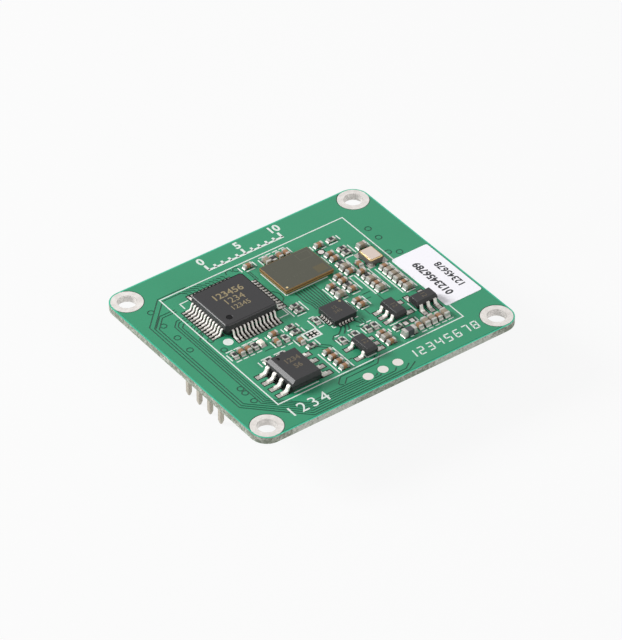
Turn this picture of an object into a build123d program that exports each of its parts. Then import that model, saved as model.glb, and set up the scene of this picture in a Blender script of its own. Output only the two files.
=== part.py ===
import os
from math import atan2, degrees
from build123d import *

# Microwave radar sensor module: a small circuit board that carries a radar package with its
# antennas, a controller, a memory, a power chip, three regulators and about seventy chip parts.
# Millimetres. The origin is the centre of the four-hole pattern on the board's underside,
# +Z points up through the parts and +X runs along the board's long side.

# Board
BOARD_LENGTH = 35.0
BOARD_WIDTH = 30.0
BOARD_THICKNESS = 0.8
CORNER_RADIUS = 2.0
HOLE_DIAMETER = 2.2
HOLE_RIM = 0.9
HOLE_LAND_RING = 0.73
HOLE_PLATING = 0.05
LAND_EDGE_GAP = 0.2
LAND_THICKNESS = 0.035
LAND_MARGIN = 0.12

# Controller: a flat moulded body with twelve formed leads on each side
CONTROLLER_X = -6.88
CONTROLLER_Y = 4.88
CONTROLLER_LEADS_PER_SIDE = 12
CONTROLLER_PITCH = 0.5
CONTROLLER_END_MARGIN = 0.75
CONTROLLER_REACH = 1.0
CONTROLLER_HEIGHT = 1.4
CONTROLLER_STANDOFF = 0.1
CONTROLLER_LEAD_WIDTH = 0.22
CONTROLLER_LEAD_THICKNESS = 0.14
CONTROLLER_FOOT = 0.55
CONTROLLER_SHOULDER = 0.22
CONTROLLER_BEND = 0.1
CONTROLLER_TOE_LAND = 0.42
CONTROLLER_CORNER = 0.35

# Radar package: two laminate layers on a grid of solder balls
RADAR_GAP = 1.56
RADAR_Y = 6.03
RADAR_BALL_COLUMNS = 12
RADAR_BALL_ROWS = 9
RADAR_BALL_PITCH = 0.5
RADAR_BALL_MARGIN = 0.5
RADAR_BALL_DIAMETER = 0.3
RADAR_BALL_RINGS = 1
RADAR_STANDOFF = 0.17
RADAR_CORE_THICKNESS = 0.28
RADAR_ANTENNA_THICKNESS = 0.22
RADAR_BACK_GAP = 0.42
RADAR_SIDE_COLUMN = 1.57
RADAR_COLUMN_PITCH = 1.73

# Memory: eight formed leads on two sides, with a bevel along the pin 1 side
MEMORY_X = -8.25
MEMORY_Y = -7.94
MEMORY_BODY_WIDTH = 3.9
MEMORY_LEADS_PER_SIDE = 4
MEMORY_PITCH = 1.27
MEMORY_END_MARGIN = 0.545
MEMORY_REACH = 1.05
MEMORY_HEIGHT = 1.35
MEMORY_STANDOFF = 0.1
MEMORY_LEAD_WIDTH = 0.42
MEMORY_LEAD_THICKNESS = 0.2
MEMORY_FOOT = 0.6
MEMORY_SHOULDER = 0.22
MEMORY_BEND = 0.17
MEMORY_TOE_LAND = 0.57
MEMORY_BEVEL = 0.32
MEMORY_CORNER = 0.05
MEMORY_COLUMN_PITCH = 1.0

# Power chip: a leadless body with flat terminals in its lower edge
POWER_CHIP_X = 1.65
POWER_CHIP_Y = -2.55
POWER_CHIP_TERMINALS_PER_SIDE = 5
POWER_CHIP_PITCH = 0.4
POWER_CHIP_END_MARGIN = 0.7
POWER_CHIP_HEIGHT = 0.75
POWER_CHIP_TERMINAL_WIDTH = 0.2
POWER_CHIP_TERMINAL_LENGTH = 0.4
POWER_CHIP_TERMINAL_THICKNESS = 0.2
POWER_CHIP_TERMINAL_PROUD = 0.02
POWER_CHIP_PAD_GAP = 0.3
POWER_CHIP_TOE_LAND = 0.25

# Regulators: three leads on one side and two on the other
REGULATOR_BODY_WIDTH = 1.6
REGULATOR_PITCH = 0.95
REGULATOR_END_MARGIN = 0.5
REGULATOR_REACH = 0.6
REGULATOR_HEIGHT = 1.05
REGULATOR_STANDOFF = 0.05
REGULATOR_LEAD_WIDTH = 0.4
REGULATOR_LEAD_THICKNESS = 0.15
REGULATOR_FOOT = 0.35
REGULATOR_SHOULDER = 0.12
REGULATOR_BEND = 0.07
REGULATOR_TOE_LAND = 0.5
REGULATOR_CORNER = 0.05
REGULATOR_A_X = 6.8
REGULATOR_A_Y = -5.85
REGULATOR_B_X = 10.48
REGULATOR_B_Y = -6.35
REGULATOR_C_X = 0.5
REGULATOR_C_Y = -8.93

# All moulded bodies
MOULD_DRAFT = 0.17
PIN_ONE_DEPTH = 0.06
CONTROLLER_MARK_RADIUS = 0.4
CONTROLLER_MARK_INSET = 1.1
MEMORY_MARK_RADIUS = 0.24
MEMORY_MARK_INSET = 0.75

# Crystal: ceramic base with corner castellations, seal ring and metal lid
CRYSTAL_X = 10.65
CRYSTAL_Y = 3.3
CRYSTAL_WIDTH = 2.0
CRYSTAL_LENGTH = 2.5
CRYSTAL_BASE_HEIGHT = 0.5
CRYSTAL_RING_HEIGHT = 0.13
CRYSTAL_LID_HEIGHT = 0.1
CRYSTAL_RING_INSET = 0.13
CRYSTAL_LID_INSET = 0.27
CRYSTAL_CORNER = 0.18
CRYSTAL_PAD_WIDTH = 0.65
CRYSTAL_PAD_LENGTH = 0.8

# Chip parts: small and large ceramic capacitors, film resistors, one ferrite bead
SMALL_CAP_LENGTH = 1.0
SMALL_CAP_WIDTH = 0.5
SMALL_CAP_HEIGHT = 0.5
LARGE_CAP_LENGTH = 1.1
LARGE_CAP_WIDTH = 0.62
LARGE_CAP_HEIGHT = 0.62
RESISTOR_LENGTH = 1.0
RESISTOR_WIDTH = 0.5
RESISTOR_HEIGHT = 0.35
RESISTOR_FILM = 0.03
FERRITE_LENGTH = 1.6
FERRITE_WIDTH = 0.8
FERRITE_HEIGHT = 0.8
TERMINAL_SHARE = 0.25
TERMINAL_PROUD = 0.015
PART_GAP = 0.26

# Light-emitting diode, at the end of a row of four chip parts
LED_ROW_X = -11.52
LED_ROW_Y = -1.63
LED_LENGTH = 1.0
LED_WIDTH = 0.6
LED_BASE_HEIGHT = 0.18
LED_LENS_HEIGHT = 0.27
LED_LENS_INSET = 0.15

# Pin headers under the board
HEADER_INSET = 3.1
HEADER_PITCH = 2.0
LEFT_HEADER_PINS = 4
RIGHT_HEADER_PINS = 8
HEADER_BODY_WIDTH = 2.0
HEADER_BODY_HEIGHT = 1.5
HEADER_BODY_CHAMFER = 0.35
HEADER_BODY_GAP = 0.2
PIN_WIDTH = 0.5
PIN_CLEARANCE = 0.01
PIN_FREE_LENGTH = 4.0
PIN_TIP = 0.5
PIN_TIP_WIDTH = 0.24
PIN_FOOT = 2.2
PIN_BEND = 0.2

# Test lands, empty footprints and label
TEST_LAND_DIAMETER = 1.4
TEST_LAND_PITCH = 2.0
PARTS_FRONT_Y = -10.8
PROBE_LAND_DIAMETER = 0.7
ARRAY_LAND = 0.26
ARRAY_PITCH = 0.5
ARRAY_X = -2.52
ARRAY_Y = -3.6
LABEL_LEFT = 12.15
LABEL_EDGE_GAP = 0.35
LABEL_LENGTH = 10.0
LABEL_Y = -3.4
LABEL_THICKNESS = 0.08
LABEL_CORNER = 0.3

# Levels and sizes that follow
TOP = BOARD_THICKNESS
SEAT = TOP + LAND_THICKNESS
HOLE_X = BOARD_LENGTH / 2 - HOLE_RIM - HOLE_DIAMETER / 2
HOLE_Y = BOARD_WIDTH / 2 - HOLE_RIM - HOLE_DIAMETER / 2
HOLES = [(sx * HOLE_X, sy * HOLE_Y) for sx in (-1, 1) for sy in (-1, 1)]
HEADER_X = BOARD_LENGTH / 2 - HEADER_INSET
CONTROLLER_BODY = (CONTROLLER_LEADS_PER_SIDE - 1) * CONTROLLER_PITCH + 2 * CONTROLLER_END_MARGIN
CONTROLLER_SPAN = CONTROLLER_BODY + 2 * CONTROLLER_REACH
RADAR_LENGTH = (RADAR_BALL_COLUMNS - 1) * RADAR_BALL_PITCH + 2 * RADAR_BALL_MARGIN
RADAR_WIDTH = (RADAR_BALL_ROWS - 1) * RADAR_BALL_PITCH + 2 * RADAR_BALL_MARGIN
RADAR_X = CONTROLLER_X + CONTROLLER_SPAN / 2 + RADAR_GAP + RADAR_LENGTH / 2
MEMORY_LENGTH = (MEMORY_LEADS_PER_SIDE - 1) * MEMORY_PITCH + 2 * MEMORY_END_MARGIN
POWER_CHIP_SIZE = (POWER_CHIP_TERMINALS_PER_SIDE - 1) * POWER_CHIP_PITCH + 2 * POWER_CHIP_END_MARGIN
REGULATOR_LENGTH = 2 * REGULATOR_PITCH + 2 * REGULATOR_END_MARGIN
PART_PITCH = LARGE_CAP_WIDTH + PART_GAP
TEST_LAND_Y = (PARTS_FRONT_Y - BOARD_WIDTH / 2) / 2

# Where the packages sit
CONTROLLER_PLACE = Pos(CONTROLLER_X, CONTROLLER_Y, SEAT)
RADAR_PLACE = Pos(RADAR_X, RADAR_Y, TOP)
MEMORY_PLACE = Pos(MEMORY_X, MEMORY_Y, SEAT)
POWER_CHIP_PLACE = Pos(POWER_CHIP_X, POWER_CHIP_Y, SEAT)
CRYSTAL_PLACE = Pos(CRYSTAL_X, CRYSTAL_Y, TOP)
REGULATOR_PLACES = {
    "regulator_a": Pos(REGULATOR_A_X, REGULATOR_A_Y, SEAT),
    "regulator_b": Pos(REGULATOR_B_X, REGULATOR_B_Y, SEAT) * Rot(0, 0, 90),
    "regulator_c": Pos(REGULATOR_C_X, REGULATOR_C_Y, SEAT) * Rot(0, 0, 180),
}

# Where the chip parts lie: each entry is the kind, x, y and the turn about Z
SMALL = "small capacitor"
LARGE = "large capacitor"
RESISTOR = "resistor"
FERRITE = "ferrite"
CHIP_SIZES = {
    SMALL: (SMALL_CAP_LENGTH, SMALL_CAP_WIDTH, SMALL_CAP_HEIGHT),
    LARGE: (LARGE_CAP_LENGTH, LARGE_CAP_WIDTH, LARGE_CAP_HEIGHT),
    RESISTOR: (RESISTOR_LENGTH, RESISTOR_WIDTH, RESISTOR_HEIGHT),
    FERRITE: (FERRITE_LENGTH, FERRITE_WIDTH, FERRITE_HEIGHT),
}


def column(kinds, x, y_back):
    """Parts that lie along X, one behind the other, listed from the back to the front."""
    return [(kind, x, y_back - i * PART_PITCH, 0) for i, kind in enumerate(kinds)]


def row(kinds, x_left, y):
    """Parts that lie along Y, side by side, listed from left to right."""
    return [(kind, x_left + i * PART_PITCH, y, 90) for i, kind in enumerate(kinds)]


def controller_side_chips():
    """Chip parts round the controller and the memory, where the board has them."""
    chips = row([RESISTOR, SMALL, SMALL, RESISTOR], LED_ROW_X, LED_ROW_Y)
    chips += [(SMALL, -1.28, 10.1, 0)]
    chips += column([RESISTOR, RESISTOR], -1.3, 1.35)
    chips += [(SMALL, -6.05, -1.2, 0), (SMALL, -6.5, -2.48, 90), (RESISTOR, -5.4, -2.5, 90)]
    chips += [(RESISTOR, -3.87, -1.28, 0), (RESISTOR, -3.87, -2.3, 0)]
    chips += [(SMALL, -4.3, -3.9, 90), (RESISTOR, -3.87, -5.2, 0)]
    chips += [(RESISTOR, -9.12, -4.52, 0), (RESISTOR, -7.3, -4.52, 0)]
    chips += [(SMALL, -3.12, -7.15 - i * MEMORY_COLUMN_PITCH, 0) for i in range(4)]
    return chips


def radar_side_chips():
    """Chip parts behind, beside and in front of the radar package."""
    side_x = RADAR_X + RADAR_LENGTH / 2 + RADAR_SIDE_COLUMN
    outer_x = side_x + RADAR_COLUMN_PITCH
    back_y = RADAR_Y + RADAR_WIDTH / 2 + RADAR_BACK_GAP + LARGE_CAP_LENGTH / 2
    chips = row([LARGE, RESISTOR, SMALL, SMALL], 0.87, back_y)
    chips += [(SMALL, side_x, 8.45, 0), (RESISTOR, outer_x, 8.45, 0)]
    chips += [(SMALL, side_x, 6.4, 0), (SMALL, side_x, 5.45, 0)]
    chips += column([RESISTOR, RESISTOR], outer_x, 6.45)
    chips += column([RESISTOR, LARGE, SMALL], side_x, 4.4)
    chips += [(SMALL, 8.85, 3.05, 90), (LARGE, 11.02, 5.5, 0)]
    return chips


def supply_side_chips():
    """Chip parts round the power chip, the regulators and the crystal."""
    chips = column([SMALL, RESISTOR, LARGE], 3.95, 1.7)
    chips += column([SMALL, SMALL, RESISTOR, SMALL], 5.6, 2.62)
    chips += column([SMALL, RESISTOR, LARGE, SMALL, LARGE], 8.24, 1.8)
    chips += column([SMALL, SMALL], 4.8, -1.95)
    chips += column([SMALL, LARGE, LARGE, LARGE, SMALL, LARGE], 10.78, 1.05)
    chips += [(RESISTOR, -0.93, -2.1, 90)]
    chips += [(RESISTOR, x, -6.5, 90) for x in (-0.65, 1.08, 2.8, 3.68)]
    chips += column([SMALL, LARGE, SMALL], 3.48, -8.05)
    chips += [(RESISTOR, 5.6, -8.2, 0)]
    chips += row([SMALL, LARGE, LARGE, SMALL, LARGE], 7.57, -9.43)
    return chips


FERRITE_CHIPS = [(FERRITE, 5.97, -9.77, 0)]
CHIP_GROUPS = {
    "controller_side": controller_side_chips(),
    "radar_side": radar_side_chips(),
    "supply_side": supply_side_chips(),
}
LED_PLACE = Pos(LED_ROW_X + 4 * PART_PITCH, LED_ROW_Y, TOP) * Rot(0, 0, 90)
EMPTY_CHIP = (RESISTOR, 7.2, -8.1, 0)
PROBE_LAND = (6.85, 7.45)


def block(x_size, y_size, z_low, z_high):
    """A box centred on X and Y between two heights."""
    return Pos(0, 0, (z_low + z_high) / 2) * Box(x_size, y_size, z_high - z_low)


def rounded_plate(x_size, y_size, radius, z_low, z_high):
    """A plate with rounded corners between two heights."""
    radius = min(radius, 0.49 * min(x_size, y_size))
    outline = RectangleRounded(x_size, y_size, radius)
    return Pos(0, 0, z_low) * extrude(outline, z_high - z_low)


def circuit_board():
    """The laminate with its rounded corners and four mounting holes."""
    board = rounded_plate(BOARD_LENGTH, BOARD_WIDTH, CORNER_RADIUS, 0, TOP)
    for x, y in HOLES:
        board -= Pos(x, y, TOP / 2) * Cylinder(HOLE_DIAMETER / 2 + HOLE_PLATING, 2 * TOP)
    return board


def hole_plating(x, y):
    """One plated hole: a barrel with a land on each face, cut flat beside the board's edge."""
    land = Pos(x, y) * Circle(HOLE_DIAMETER / 2 + HOLE_LAND_RING)
    land = land & Rectangle(BOARD_LENGTH - 2 * LAND_EDGE_GAP, BOARD_WIDTH - 2 * LAND_EDGE_GAP)
    barrel = Pos(x, y) * Circle(HOLE_DIAMETER / 2 + HOLE_PLATING)
    solid = Pos(0, 0, TOP) * extrude(land, LAND_THICKNESS)
    solid += Pos(0, 0, -LAND_THICKNESS) * extrude(land, LAND_THICKNESS)
    solid += extrude(barrel, TOP)
    return solid - Pos(x, y, TOP / 2) * Cylinder(HOLE_DIAMETER / 2, 3 * TOP)


def chamfered_plan(x_size, y_size, corner):
    """A rectangle with its four corners cut off."""
    plan = Rectangle(x_size, y_size)
    return chamfer(plan.vertices(), corner)


def tapered(plan, rise, inset):
    """A plan raised with flat sides that lean in by an inset over the whole rise."""
    return extrude(plan, rise, taper=degrees(atan2(inset, rise)))


def moulded_body(x_size, y_size, standoff, height, band, corner):
    """A moulded body: drafted above and below a straight band where the leads come out."""
    middle = standoff + height / 2
    plan = chamfered_plan(x_size, y_size, corner)
    upper = Pos(0, 0, band / 2) * tapered(plan, (height - band) / 2, MOULD_DRAFT)
    straight = Pos(0, 0, -band / 2) * extrude(plan, band)
    return Pos(0, 0, middle) * (straight + upper + mirror(upper, about=Plane.XY))


def pin_one_mark(radius, x, y, top):
    """The shallow round recess that marks pin 1."""
    return Pos(x, y, top) * Cylinder(radius, 2 * PIN_ONE_DEPTH)


def lead_points(height, reach, thickness, foot, shoulder):
    """The corners of a gull wing's centre line, from the body's side at the origin out along +X."""
    low = thickness / 2
    return [(0, 0, height), (shoulder, 0, height), (reach - foot, 0, low), (reach, 0, low)]


def two_step_bends(corners, cut):
    """The path through the corners, with each bend made in two steps."""
    points = [Vector(*corner) for corner in corners]
    path = [points[0]]
    for before, corner, after in zip(points, points[1:], points[2:]):
        path.append(corner + (before - corner).normalized() * cut)
        path.append(corner + (after - corner).normalized() * cut)
    return Polyline(*path, points[-1])


def gull_wing_lead(height, reach, width, thickness, foot, shoulder, bend):
    """A flat strip of metal formed into a gull wing."""
    path = two_step_bends(lead_points(height, reach, thickness, foot, shoulder), bend)
    start = Plane(origin=(0, 0, height), x_dir=(0, 1, 0), z_dir=(1, 0, 0))
    return sweep(start * Rectangle(width, thickness), path=path, transition=Transition.RIGHT)


def spread(count, pitch):
    """Places of a row of equal steps centred on zero."""
    return [(i - (count - 1) / 2) * pitch for i in range(count)]


def controller_body():
    """The controller's moulded body with its cut corners and pin 1 recess."""
    body = moulded_body(CONTROLLER_BODY, CONTROLLER_BODY, CONTROLLER_STANDOFF, CONTROLLER_HEIGHT,
                        CONTROLLER_LEAD_THICKNESS, CONTROLLER_CORNER)
    mark = CONTROLLER_MARK_INSET + MOULD_DRAFT - CONTROLLER_BODY / 2
    top = CONTROLLER_STANDOFF + CONTROLLER_HEIGHT
    return body - pin_one_mark(CONTROLLER_MARK_RADIUS, mark, mark, top)


def controller_leads():
    """Forty-eight gull-wing leads, twelve on each side."""
    height = CONTROLLER_STANDOFF + CONTROLLER_HEIGHT / 2
    lead = gull_wing_lead(height, CONTROLLER_REACH, CONTROLLER_LEAD_WIDTH, CONTROLLER_LEAD_THICKNESS,
                          CONTROLLER_FOOT, CONTROLLER_SHOULDER, CONTROLLER_BEND)
    leads = []
    for side in range(4):
        for y in spread(CONTROLLER_LEADS_PER_SIDE, CONTROLLER_PITCH):
            leads.append(Rot(0, 0, 90 * side) * Pos(CONTROLLER_BODY / 2, y, 0) * lead)
    return leads


def memory_body():
    """The memory's moulded body with the bevel along its pin 1 side."""
    body = moulded_body(MEMORY_BODY_WIDTH, MEMORY_LENGTH, MEMORY_STANDOFF, MEMORY_HEIGHT,
                        MEMORY_LEAD_THICKNESS, MEMORY_CORNER)
    edge = body.edges().group_by(Axis.Z)[-1].sort_by(Axis.X)[0]
    body = chamfer(edge, MEMORY_BEVEL)
    x = MEMORY_MARK_INSET + MEMORY_BEVEL - MEMORY_BODY_WIDTH / 2
    y = MEMORY_LENGTH / 2 - MEMORY_MARK_INSET
    return body - pin_one_mark(MEMORY_MARK_RADIUS, x, y, MEMORY_STANDOFF + MEMORY_HEIGHT)


def memory_leads():
    """Eight gull-wing leads, four on each side."""
    height = MEMORY_STANDOFF + MEMORY_HEIGHT / 2
    lead = gull_wing_lead(height, MEMORY_REACH, MEMORY_LEAD_WIDTH, MEMORY_LEAD_THICKNESS,
                          MEMORY_FOOT, MEMORY_SHOULDER, MEMORY_BEND)
    leads = []
    for turn in (0, 180):
        for y in spread(MEMORY_LEADS_PER_SIDE, MEMORY_PITCH):
            leads.append(Rot(0, 0, turn) * Pos(MEMORY_BODY_WIDTH / 2, y, 0) * lead)
    return leads


def regulator_body():
    """A regulator's small moulded body."""
    return moulded_body(REGULATOR_BODY_WIDTH, REGULATOR_LENGTH, REGULATOR_STANDOFF, REGULATOR_HEIGHT,
                        REGULATOR_LEAD_THICKNESS, REGULATOR_CORNER)


def regulator_leads():
    """Three leads on the -X side and two on the +X side."""
    height = REGULATOR_STANDOFF + REGULATOR_HEIGHT / 2
    lead = gull_wing_lead(height, REGULATOR_REACH, REGULATOR_LEAD_WIDTH, REGULATOR_LEAD_THICKNESS,
                          REGULATOR_FOOT, REGULATOR_SHOULDER, REGULATOR_BEND)
    right = [Pos(REGULATOR_BODY_WIDTH / 2, y, 0) * lead for y in (-REGULATOR_PITCH, REGULATOR_PITCH)]
    left = [Rot(0, 0, 180) * Pos(REGULATOR_BODY_WIDTH / 2, y, 0) * lead for y in spread(3, REGULATOR_PITCH)]
    return left + right


def radar_core():
    """The lower laminate layer of the radar package."""
    return block(RADAR_LENGTH, RADAR_WIDTH, RADAR_STANDOFF, RADAR_STANDOFF + RADAR_CORE_THICKNESS)


def radar_antenna_layer():
    """The upper laminate layer, which holds the antennas."""
    low = RADAR_STANDOFF + RADAR_CORE_THICKNESS
    return block(RADAR_LENGTH, RADAR_WIDTH, low, low + RADAR_ANTENNA_THICKNESS)


def radar_ball():
    """One reflowed ball as a short six-sided post, because it stays hidden in the gap."""
    return extrude(RegularPolygon(RADAR_BALL_DIAMETER / 2, 6), RADAR_STANDOFF)


def radar_ball_places():
    """Ball places in rings along the package's edge."""
    places = []
    for i, x in enumerate(spread(RADAR_BALL_COLUMNS, RADAR_BALL_PITCH)):
        for j, y in enumerate(spread(RADAR_BALL_ROWS, RADAR_BALL_PITCH)):
            ring = min(i, j, RADAR_BALL_COLUMNS - 1 - i, RADAR_BALL_ROWS - 1 - j)
            if ring < RADAR_BALL_RINGS:
                places.append((x, y))
    return places


def radar_solder_balls():
    """The balls that carry the radar package."""
    ball = radar_ball()
    return [Pos(x, y, 0) * ball for x, y in radar_ball_places()]


def power_chip_terminal():
    """One flat terminal at the +X edge, a little proud of the body's side."""
    length = POWER_CHIP_TERMINAL_LENGTH + POWER_CHIP_TERMINAL_PROUD
    x = POWER_CHIP_SIZE / 2 + POWER_CHIP_TERMINAL_PROUD - length / 2
    return Pos(x, 0, 0) * block(length, POWER_CHIP_TERMINAL_WIDTH, 0, POWER_CHIP_TERMINAL_THICKNESS)


def power_chip_terminals():
    """Five flat terminals along each edge."""
    terminal = power_chip_terminal()
    terminals = []
    for side in range(4):
        for y in spread(POWER_CHIP_TERMINALS_PER_SIDE, POWER_CHIP_PITCH):
            terminals.append(Rot(0, 0, 90 * side) * Pos(0, y, 0) * terminal)
    return terminals


def power_chip_ground_pad():
    """The heat pad in the middle of the underside."""
    size = POWER_CHIP_SIZE - 2 * (POWER_CHIP_TERMINAL_LENGTH + POWER_CHIP_PAD_GAP)
    return block(size, size, 0, POWER_CHIP_TERMINAL_THICKNESS)


def power_chip_body():
    """The leadless body, with a pocket for each terminal and for the heat pad."""
    body = block(POWER_CHIP_SIZE, POWER_CHIP_SIZE, 0, POWER_CHIP_HEIGHT)
    for piece in power_chip_terminals():
        body -= piece
    return body - power_chip_ground_pad()


def crystal_terminals():
    """Four solder pads under the crystal's corners."""
    x = (CRYSTAL_WIDTH - CRYSTAL_PAD_WIDTH) / 2
    y = (CRYSTAL_LENGTH - CRYSTAL_PAD_LENGTH) / 2
    pad = block(CRYSTAL_PAD_WIDTH, CRYSTAL_PAD_LENGTH, 0, LAND_THICKNESS)
    corner = Cylinder(CRYSTAL_CORNER, 1)
    corners = [Pos(sx * CRYSTAL_WIDTH / 2, sy * CRYSTAL_LENGTH / 2, 0) * corner
               for sx in (-1, 1) for sy in (-1, 1)]
    pads = [Pos(sx * x, sy * y, 0) * pad for sx in (-1, 1) for sy in (-1, 1)]
    return [piece - cut for piece, cut in zip(pads, corners)]


def crystal_base():
    """The ceramic base with a round castellation in each corner."""
    top = LAND_THICKNESS + CRYSTAL_BASE_HEIGHT
    base = block(CRYSTAL_WIDTH, CRYSTAL_LENGTH, LAND_THICKNESS, top)
    for sx in (-1, 1):
        for sy in (-1, 1):
            corner = Pos(sx * CRYSTAL_WIDTH / 2, sy * CRYSTAL_LENGTH / 2, top / 2)
            base -= corner * Cylinder(CRYSTAL_CORNER, 2 * top)
    return base


def crystal_seal_ring():
    """The gold-coloured ring between the base and the lid."""
    low = LAND_THICKNESS + CRYSTAL_BASE_HEIGHT
    x_size = CRYSTAL_WIDTH - 2 * CRYSTAL_RING_INSET
    y_size = CRYSTAL_LENGTH - 2 * CRYSTAL_RING_INSET
    return rounded_plate(x_size, y_size, CRYSTAL_CORNER, low, low + CRYSTAL_RING_HEIGHT)


def crystal_lid():
    """The thin metal lid."""
    low = LAND_THICKNESS + CRYSTAL_BASE_HEIGHT + CRYSTAL_RING_HEIGHT
    x_size = CRYSTAL_WIDTH - 2 * CRYSTAL_LID_INSET
    y_size = CRYSTAL_LENGTH - 2 * CRYSTAL_LID_INSET
    return rounded_plate(x_size, y_size, CRYSTAL_CORNER, low, low + CRYSTAL_LID_HEIGHT)


def chip_body(kind):
    """The ceramic between a chip part's terminals."""
    length, width, height = CHIP_SIZES[kind]
    if kind == RESISTOR:
        height -= RESISTOR_FILM
    middle = length * (1 - 2 * TERMINAL_SHARE)
    return block(middle, width - 2 * TERMINAL_PROUD, TERMINAL_PROUD, height - TERMINAL_PROUD)


def resistor_film():
    """The dark protective film on a resistor's top."""
    high = RESISTOR_HEIGHT - TERMINAL_PROUD
    middle = RESISTOR_LENGTH * (1 - 2 * TERMINAL_SHARE)
    return block(middle, RESISTOR_WIDTH - 2 * TERMINAL_PROUD, high - RESISTOR_FILM, high)


def chip_terminals(kind):
    """The two plated ends of a chip part."""
    length, width, height = CHIP_SIZES[kind]
    end = length * TERMINAL_SHARE
    cap = block(end, width, 0, height)
    return [Pos(side * (length - end) / 2, 0, 0) * cap for side in (-1, 1)]


def chip_place(chip):
    """The place of a chip part on the board."""
    _, x, y, turn = chip
    return Pos(x, y, TOP) * Rot(0, 0, turn)


def chips_of(group, kind):
    """The chip parts of one kind in a group."""
    return [chip for chip in group if chip[0] == kind]


def led_base():
    """The diode's flat carrier."""
    middle = LED_LENGTH * (1 - 2 * TERMINAL_SHARE)
    return block(middle, LED_WIDTH - 2 * TERMINAL_PROUD, TERMINAL_PROUD, LED_BASE_HEIGHT)


def led_terminals():
    """The two plated ends of the diode's carrier."""
    end = LED_LENGTH * TERMINAL_SHARE
    cap = block(end, LED_WIDTH, 0, LED_BASE_HEIGHT)
    return [Pos(side * (LED_LENGTH - end) / 2, 0, 0) * cap for side in (-1, 1)]


def led_lens():
    """The moulded lens, narrower at its top."""
    low = Pos(0, 0, LED_BASE_HEIGHT) * Rectangle(LED_LENGTH - LED_LENS_INSET, LED_WIDTH)
    slim = Rectangle(LED_LENGTH - 2 * LED_LENS_INSET, LED_WIDTH - LED_LENS_INSET / 2)
    high = Pos(0, 0, LED_BASE_HEIGHT + LED_LENS_HEIGHT) * slim
    return loft([low, high], ruled=True)


def header_levels():
    """Heights of a header's body top, body bottom and pin tips."""
    body_top = -LAND_THICKNESS - PIN_WIDTH - HEADER_BODY_GAP
    body_bottom = body_top - HEADER_BODY_HEIGHT
    return body_top, body_bottom, body_bottom - PIN_FREE_LENGTH


def header_body(count):
    """The header's insulator: one cell with cut corners for each pin, and a square hole in each."""
    top, bottom, _ = header_levels()
    hole = PIN_WIDTH + 2 * PIN_CLEARANCE
    chamfer_size = min(HEADER_BODY_CHAMFER, 0.4 * HEADER_PITCH)
    body = Part()
    for y in spread(count, HEADER_PITCH):
        cell = chamfered_plan(HEADER_BODY_WIDTH, HEADER_PITCH, chamfer_size) - Rectangle(hole, hole)
        body += Pos(0, y, bottom) * extrude(cell, top - bottom)
    return body


def header_pin():
    """One square pin with a tapered tip and a foot bent along +X under the board."""
    _, _, tip = header_levels()
    foot_z = -LAND_THICKNESS - PIN_WIDTH / 2
    start = tip + PIN_TIP
    path = two_step_bends([(0, 0, start), (0, 0, foot_z), (PIN_FOOT, 0, foot_z)], PIN_BEND)
    square = Rectangle(PIN_WIDTH, PIN_WIDTH)
    pin = sweep(Pos(0, 0, start) * square, path=path, transition=Transition.RIGHT)
    point = tapered(square, PIN_TIP, (PIN_WIDTH - PIN_TIP_WIDTH) / 2)
    return pin + Pos(0, 0, start) * mirror(point, about=Plane.XY)


def header_pins(count):
    """A row of pins whose feet point to either side in turn."""
    pin = header_pin()
    return [Pos(0, y, 0) * Rot(0, 0, 180 * (i % 2)) * pin
            for i, y in enumerate(spread(count, HEADER_PITCH))]


def land(x_size, y_size):
    """A flat copper land on the board's top."""
    return block(x_size, y_size, TOP, SEAT)


def lead_lands(toe, foot, toe_land, width, places, turns):
    """Lands under rows of leads: each runs from behind the foot to beyond the toe."""
    length = LAND_MARGIN + foot + toe_land
    x = toe + toe_land - length / 2
    return [Rot(0, 0, turn) * Pos(x, y, 0) * land(length, width + LAND_MARGIN)
            for turn in turns for y in places]


def chip_lands(chip):
    """The two lands under a chip part."""
    kind, x, y, turn = chip
    length, width, _ = CHIP_SIZES[kind]
    end = length * TERMINAL_SHARE
    size = end + 2 * LAND_MARGIN
    return [Pos(x, y, 0) * Rot(0, 0, turn) * Pos(side * (length - end + LAND_MARGIN) / 2, 0, 0)
            * land(size, width + LAND_MARGIN / 2) for side in (-1, 1)]


def controller_lands():
    """Lands under the controller's leads."""
    places = spread(CONTROLLER_LEADS_PER_SIDE, CONTROLLER_PITCH)
    lands = lead_lands(CONTROLLER_SPAN / 2, CONTROLLER_FOOT, CONTROLLER_TOE_LAND,
                       CONTROLLER_LEAD_WIDTH / 2, places, (0, 90, 180, 270))
    return [Pos(CONTROLLER_X, CONTROLLER_Y, 0) * piece for piece in lands]


def memory_lands():
    """Lands under the memory's leads."""
    places = spread(MEMORY_LEADS_PER_SIDE, MEMORY_PITCH)
    lands = lead_lands(MEMORY_BODY_WIDTH / 2 + MEMORY_REACH, MEMORY_FOOT, MEMORY_TOE_LAND,
                       MEMORY_LEAD_WIDTH, places, (0, 180))
    return [Pos(MEMORY_X, MEMORY_Y, 0) * piece for piece in lands]


def power_chip_lands():
    """Lands under the power chip's terminals."""
    places = spread(POWER_CHIP_TERMINALS_PER_SIDE, POWER_CHIP_PITCH)
    lands = lead_lands(POWER_CHIP_SIZE / 2, POWER_CHIP_TERMINAL_LENGTH, POWER_CHIP_TOE_LAND,
                       POWER_CHIP_TERMINAL_WIDTH / 2, places, (0, 90, 180, 270))
    return [Pos(POWER_CHIP_X, POWER_CHIP_Y, 0) * piece for piece in lands]


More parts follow.
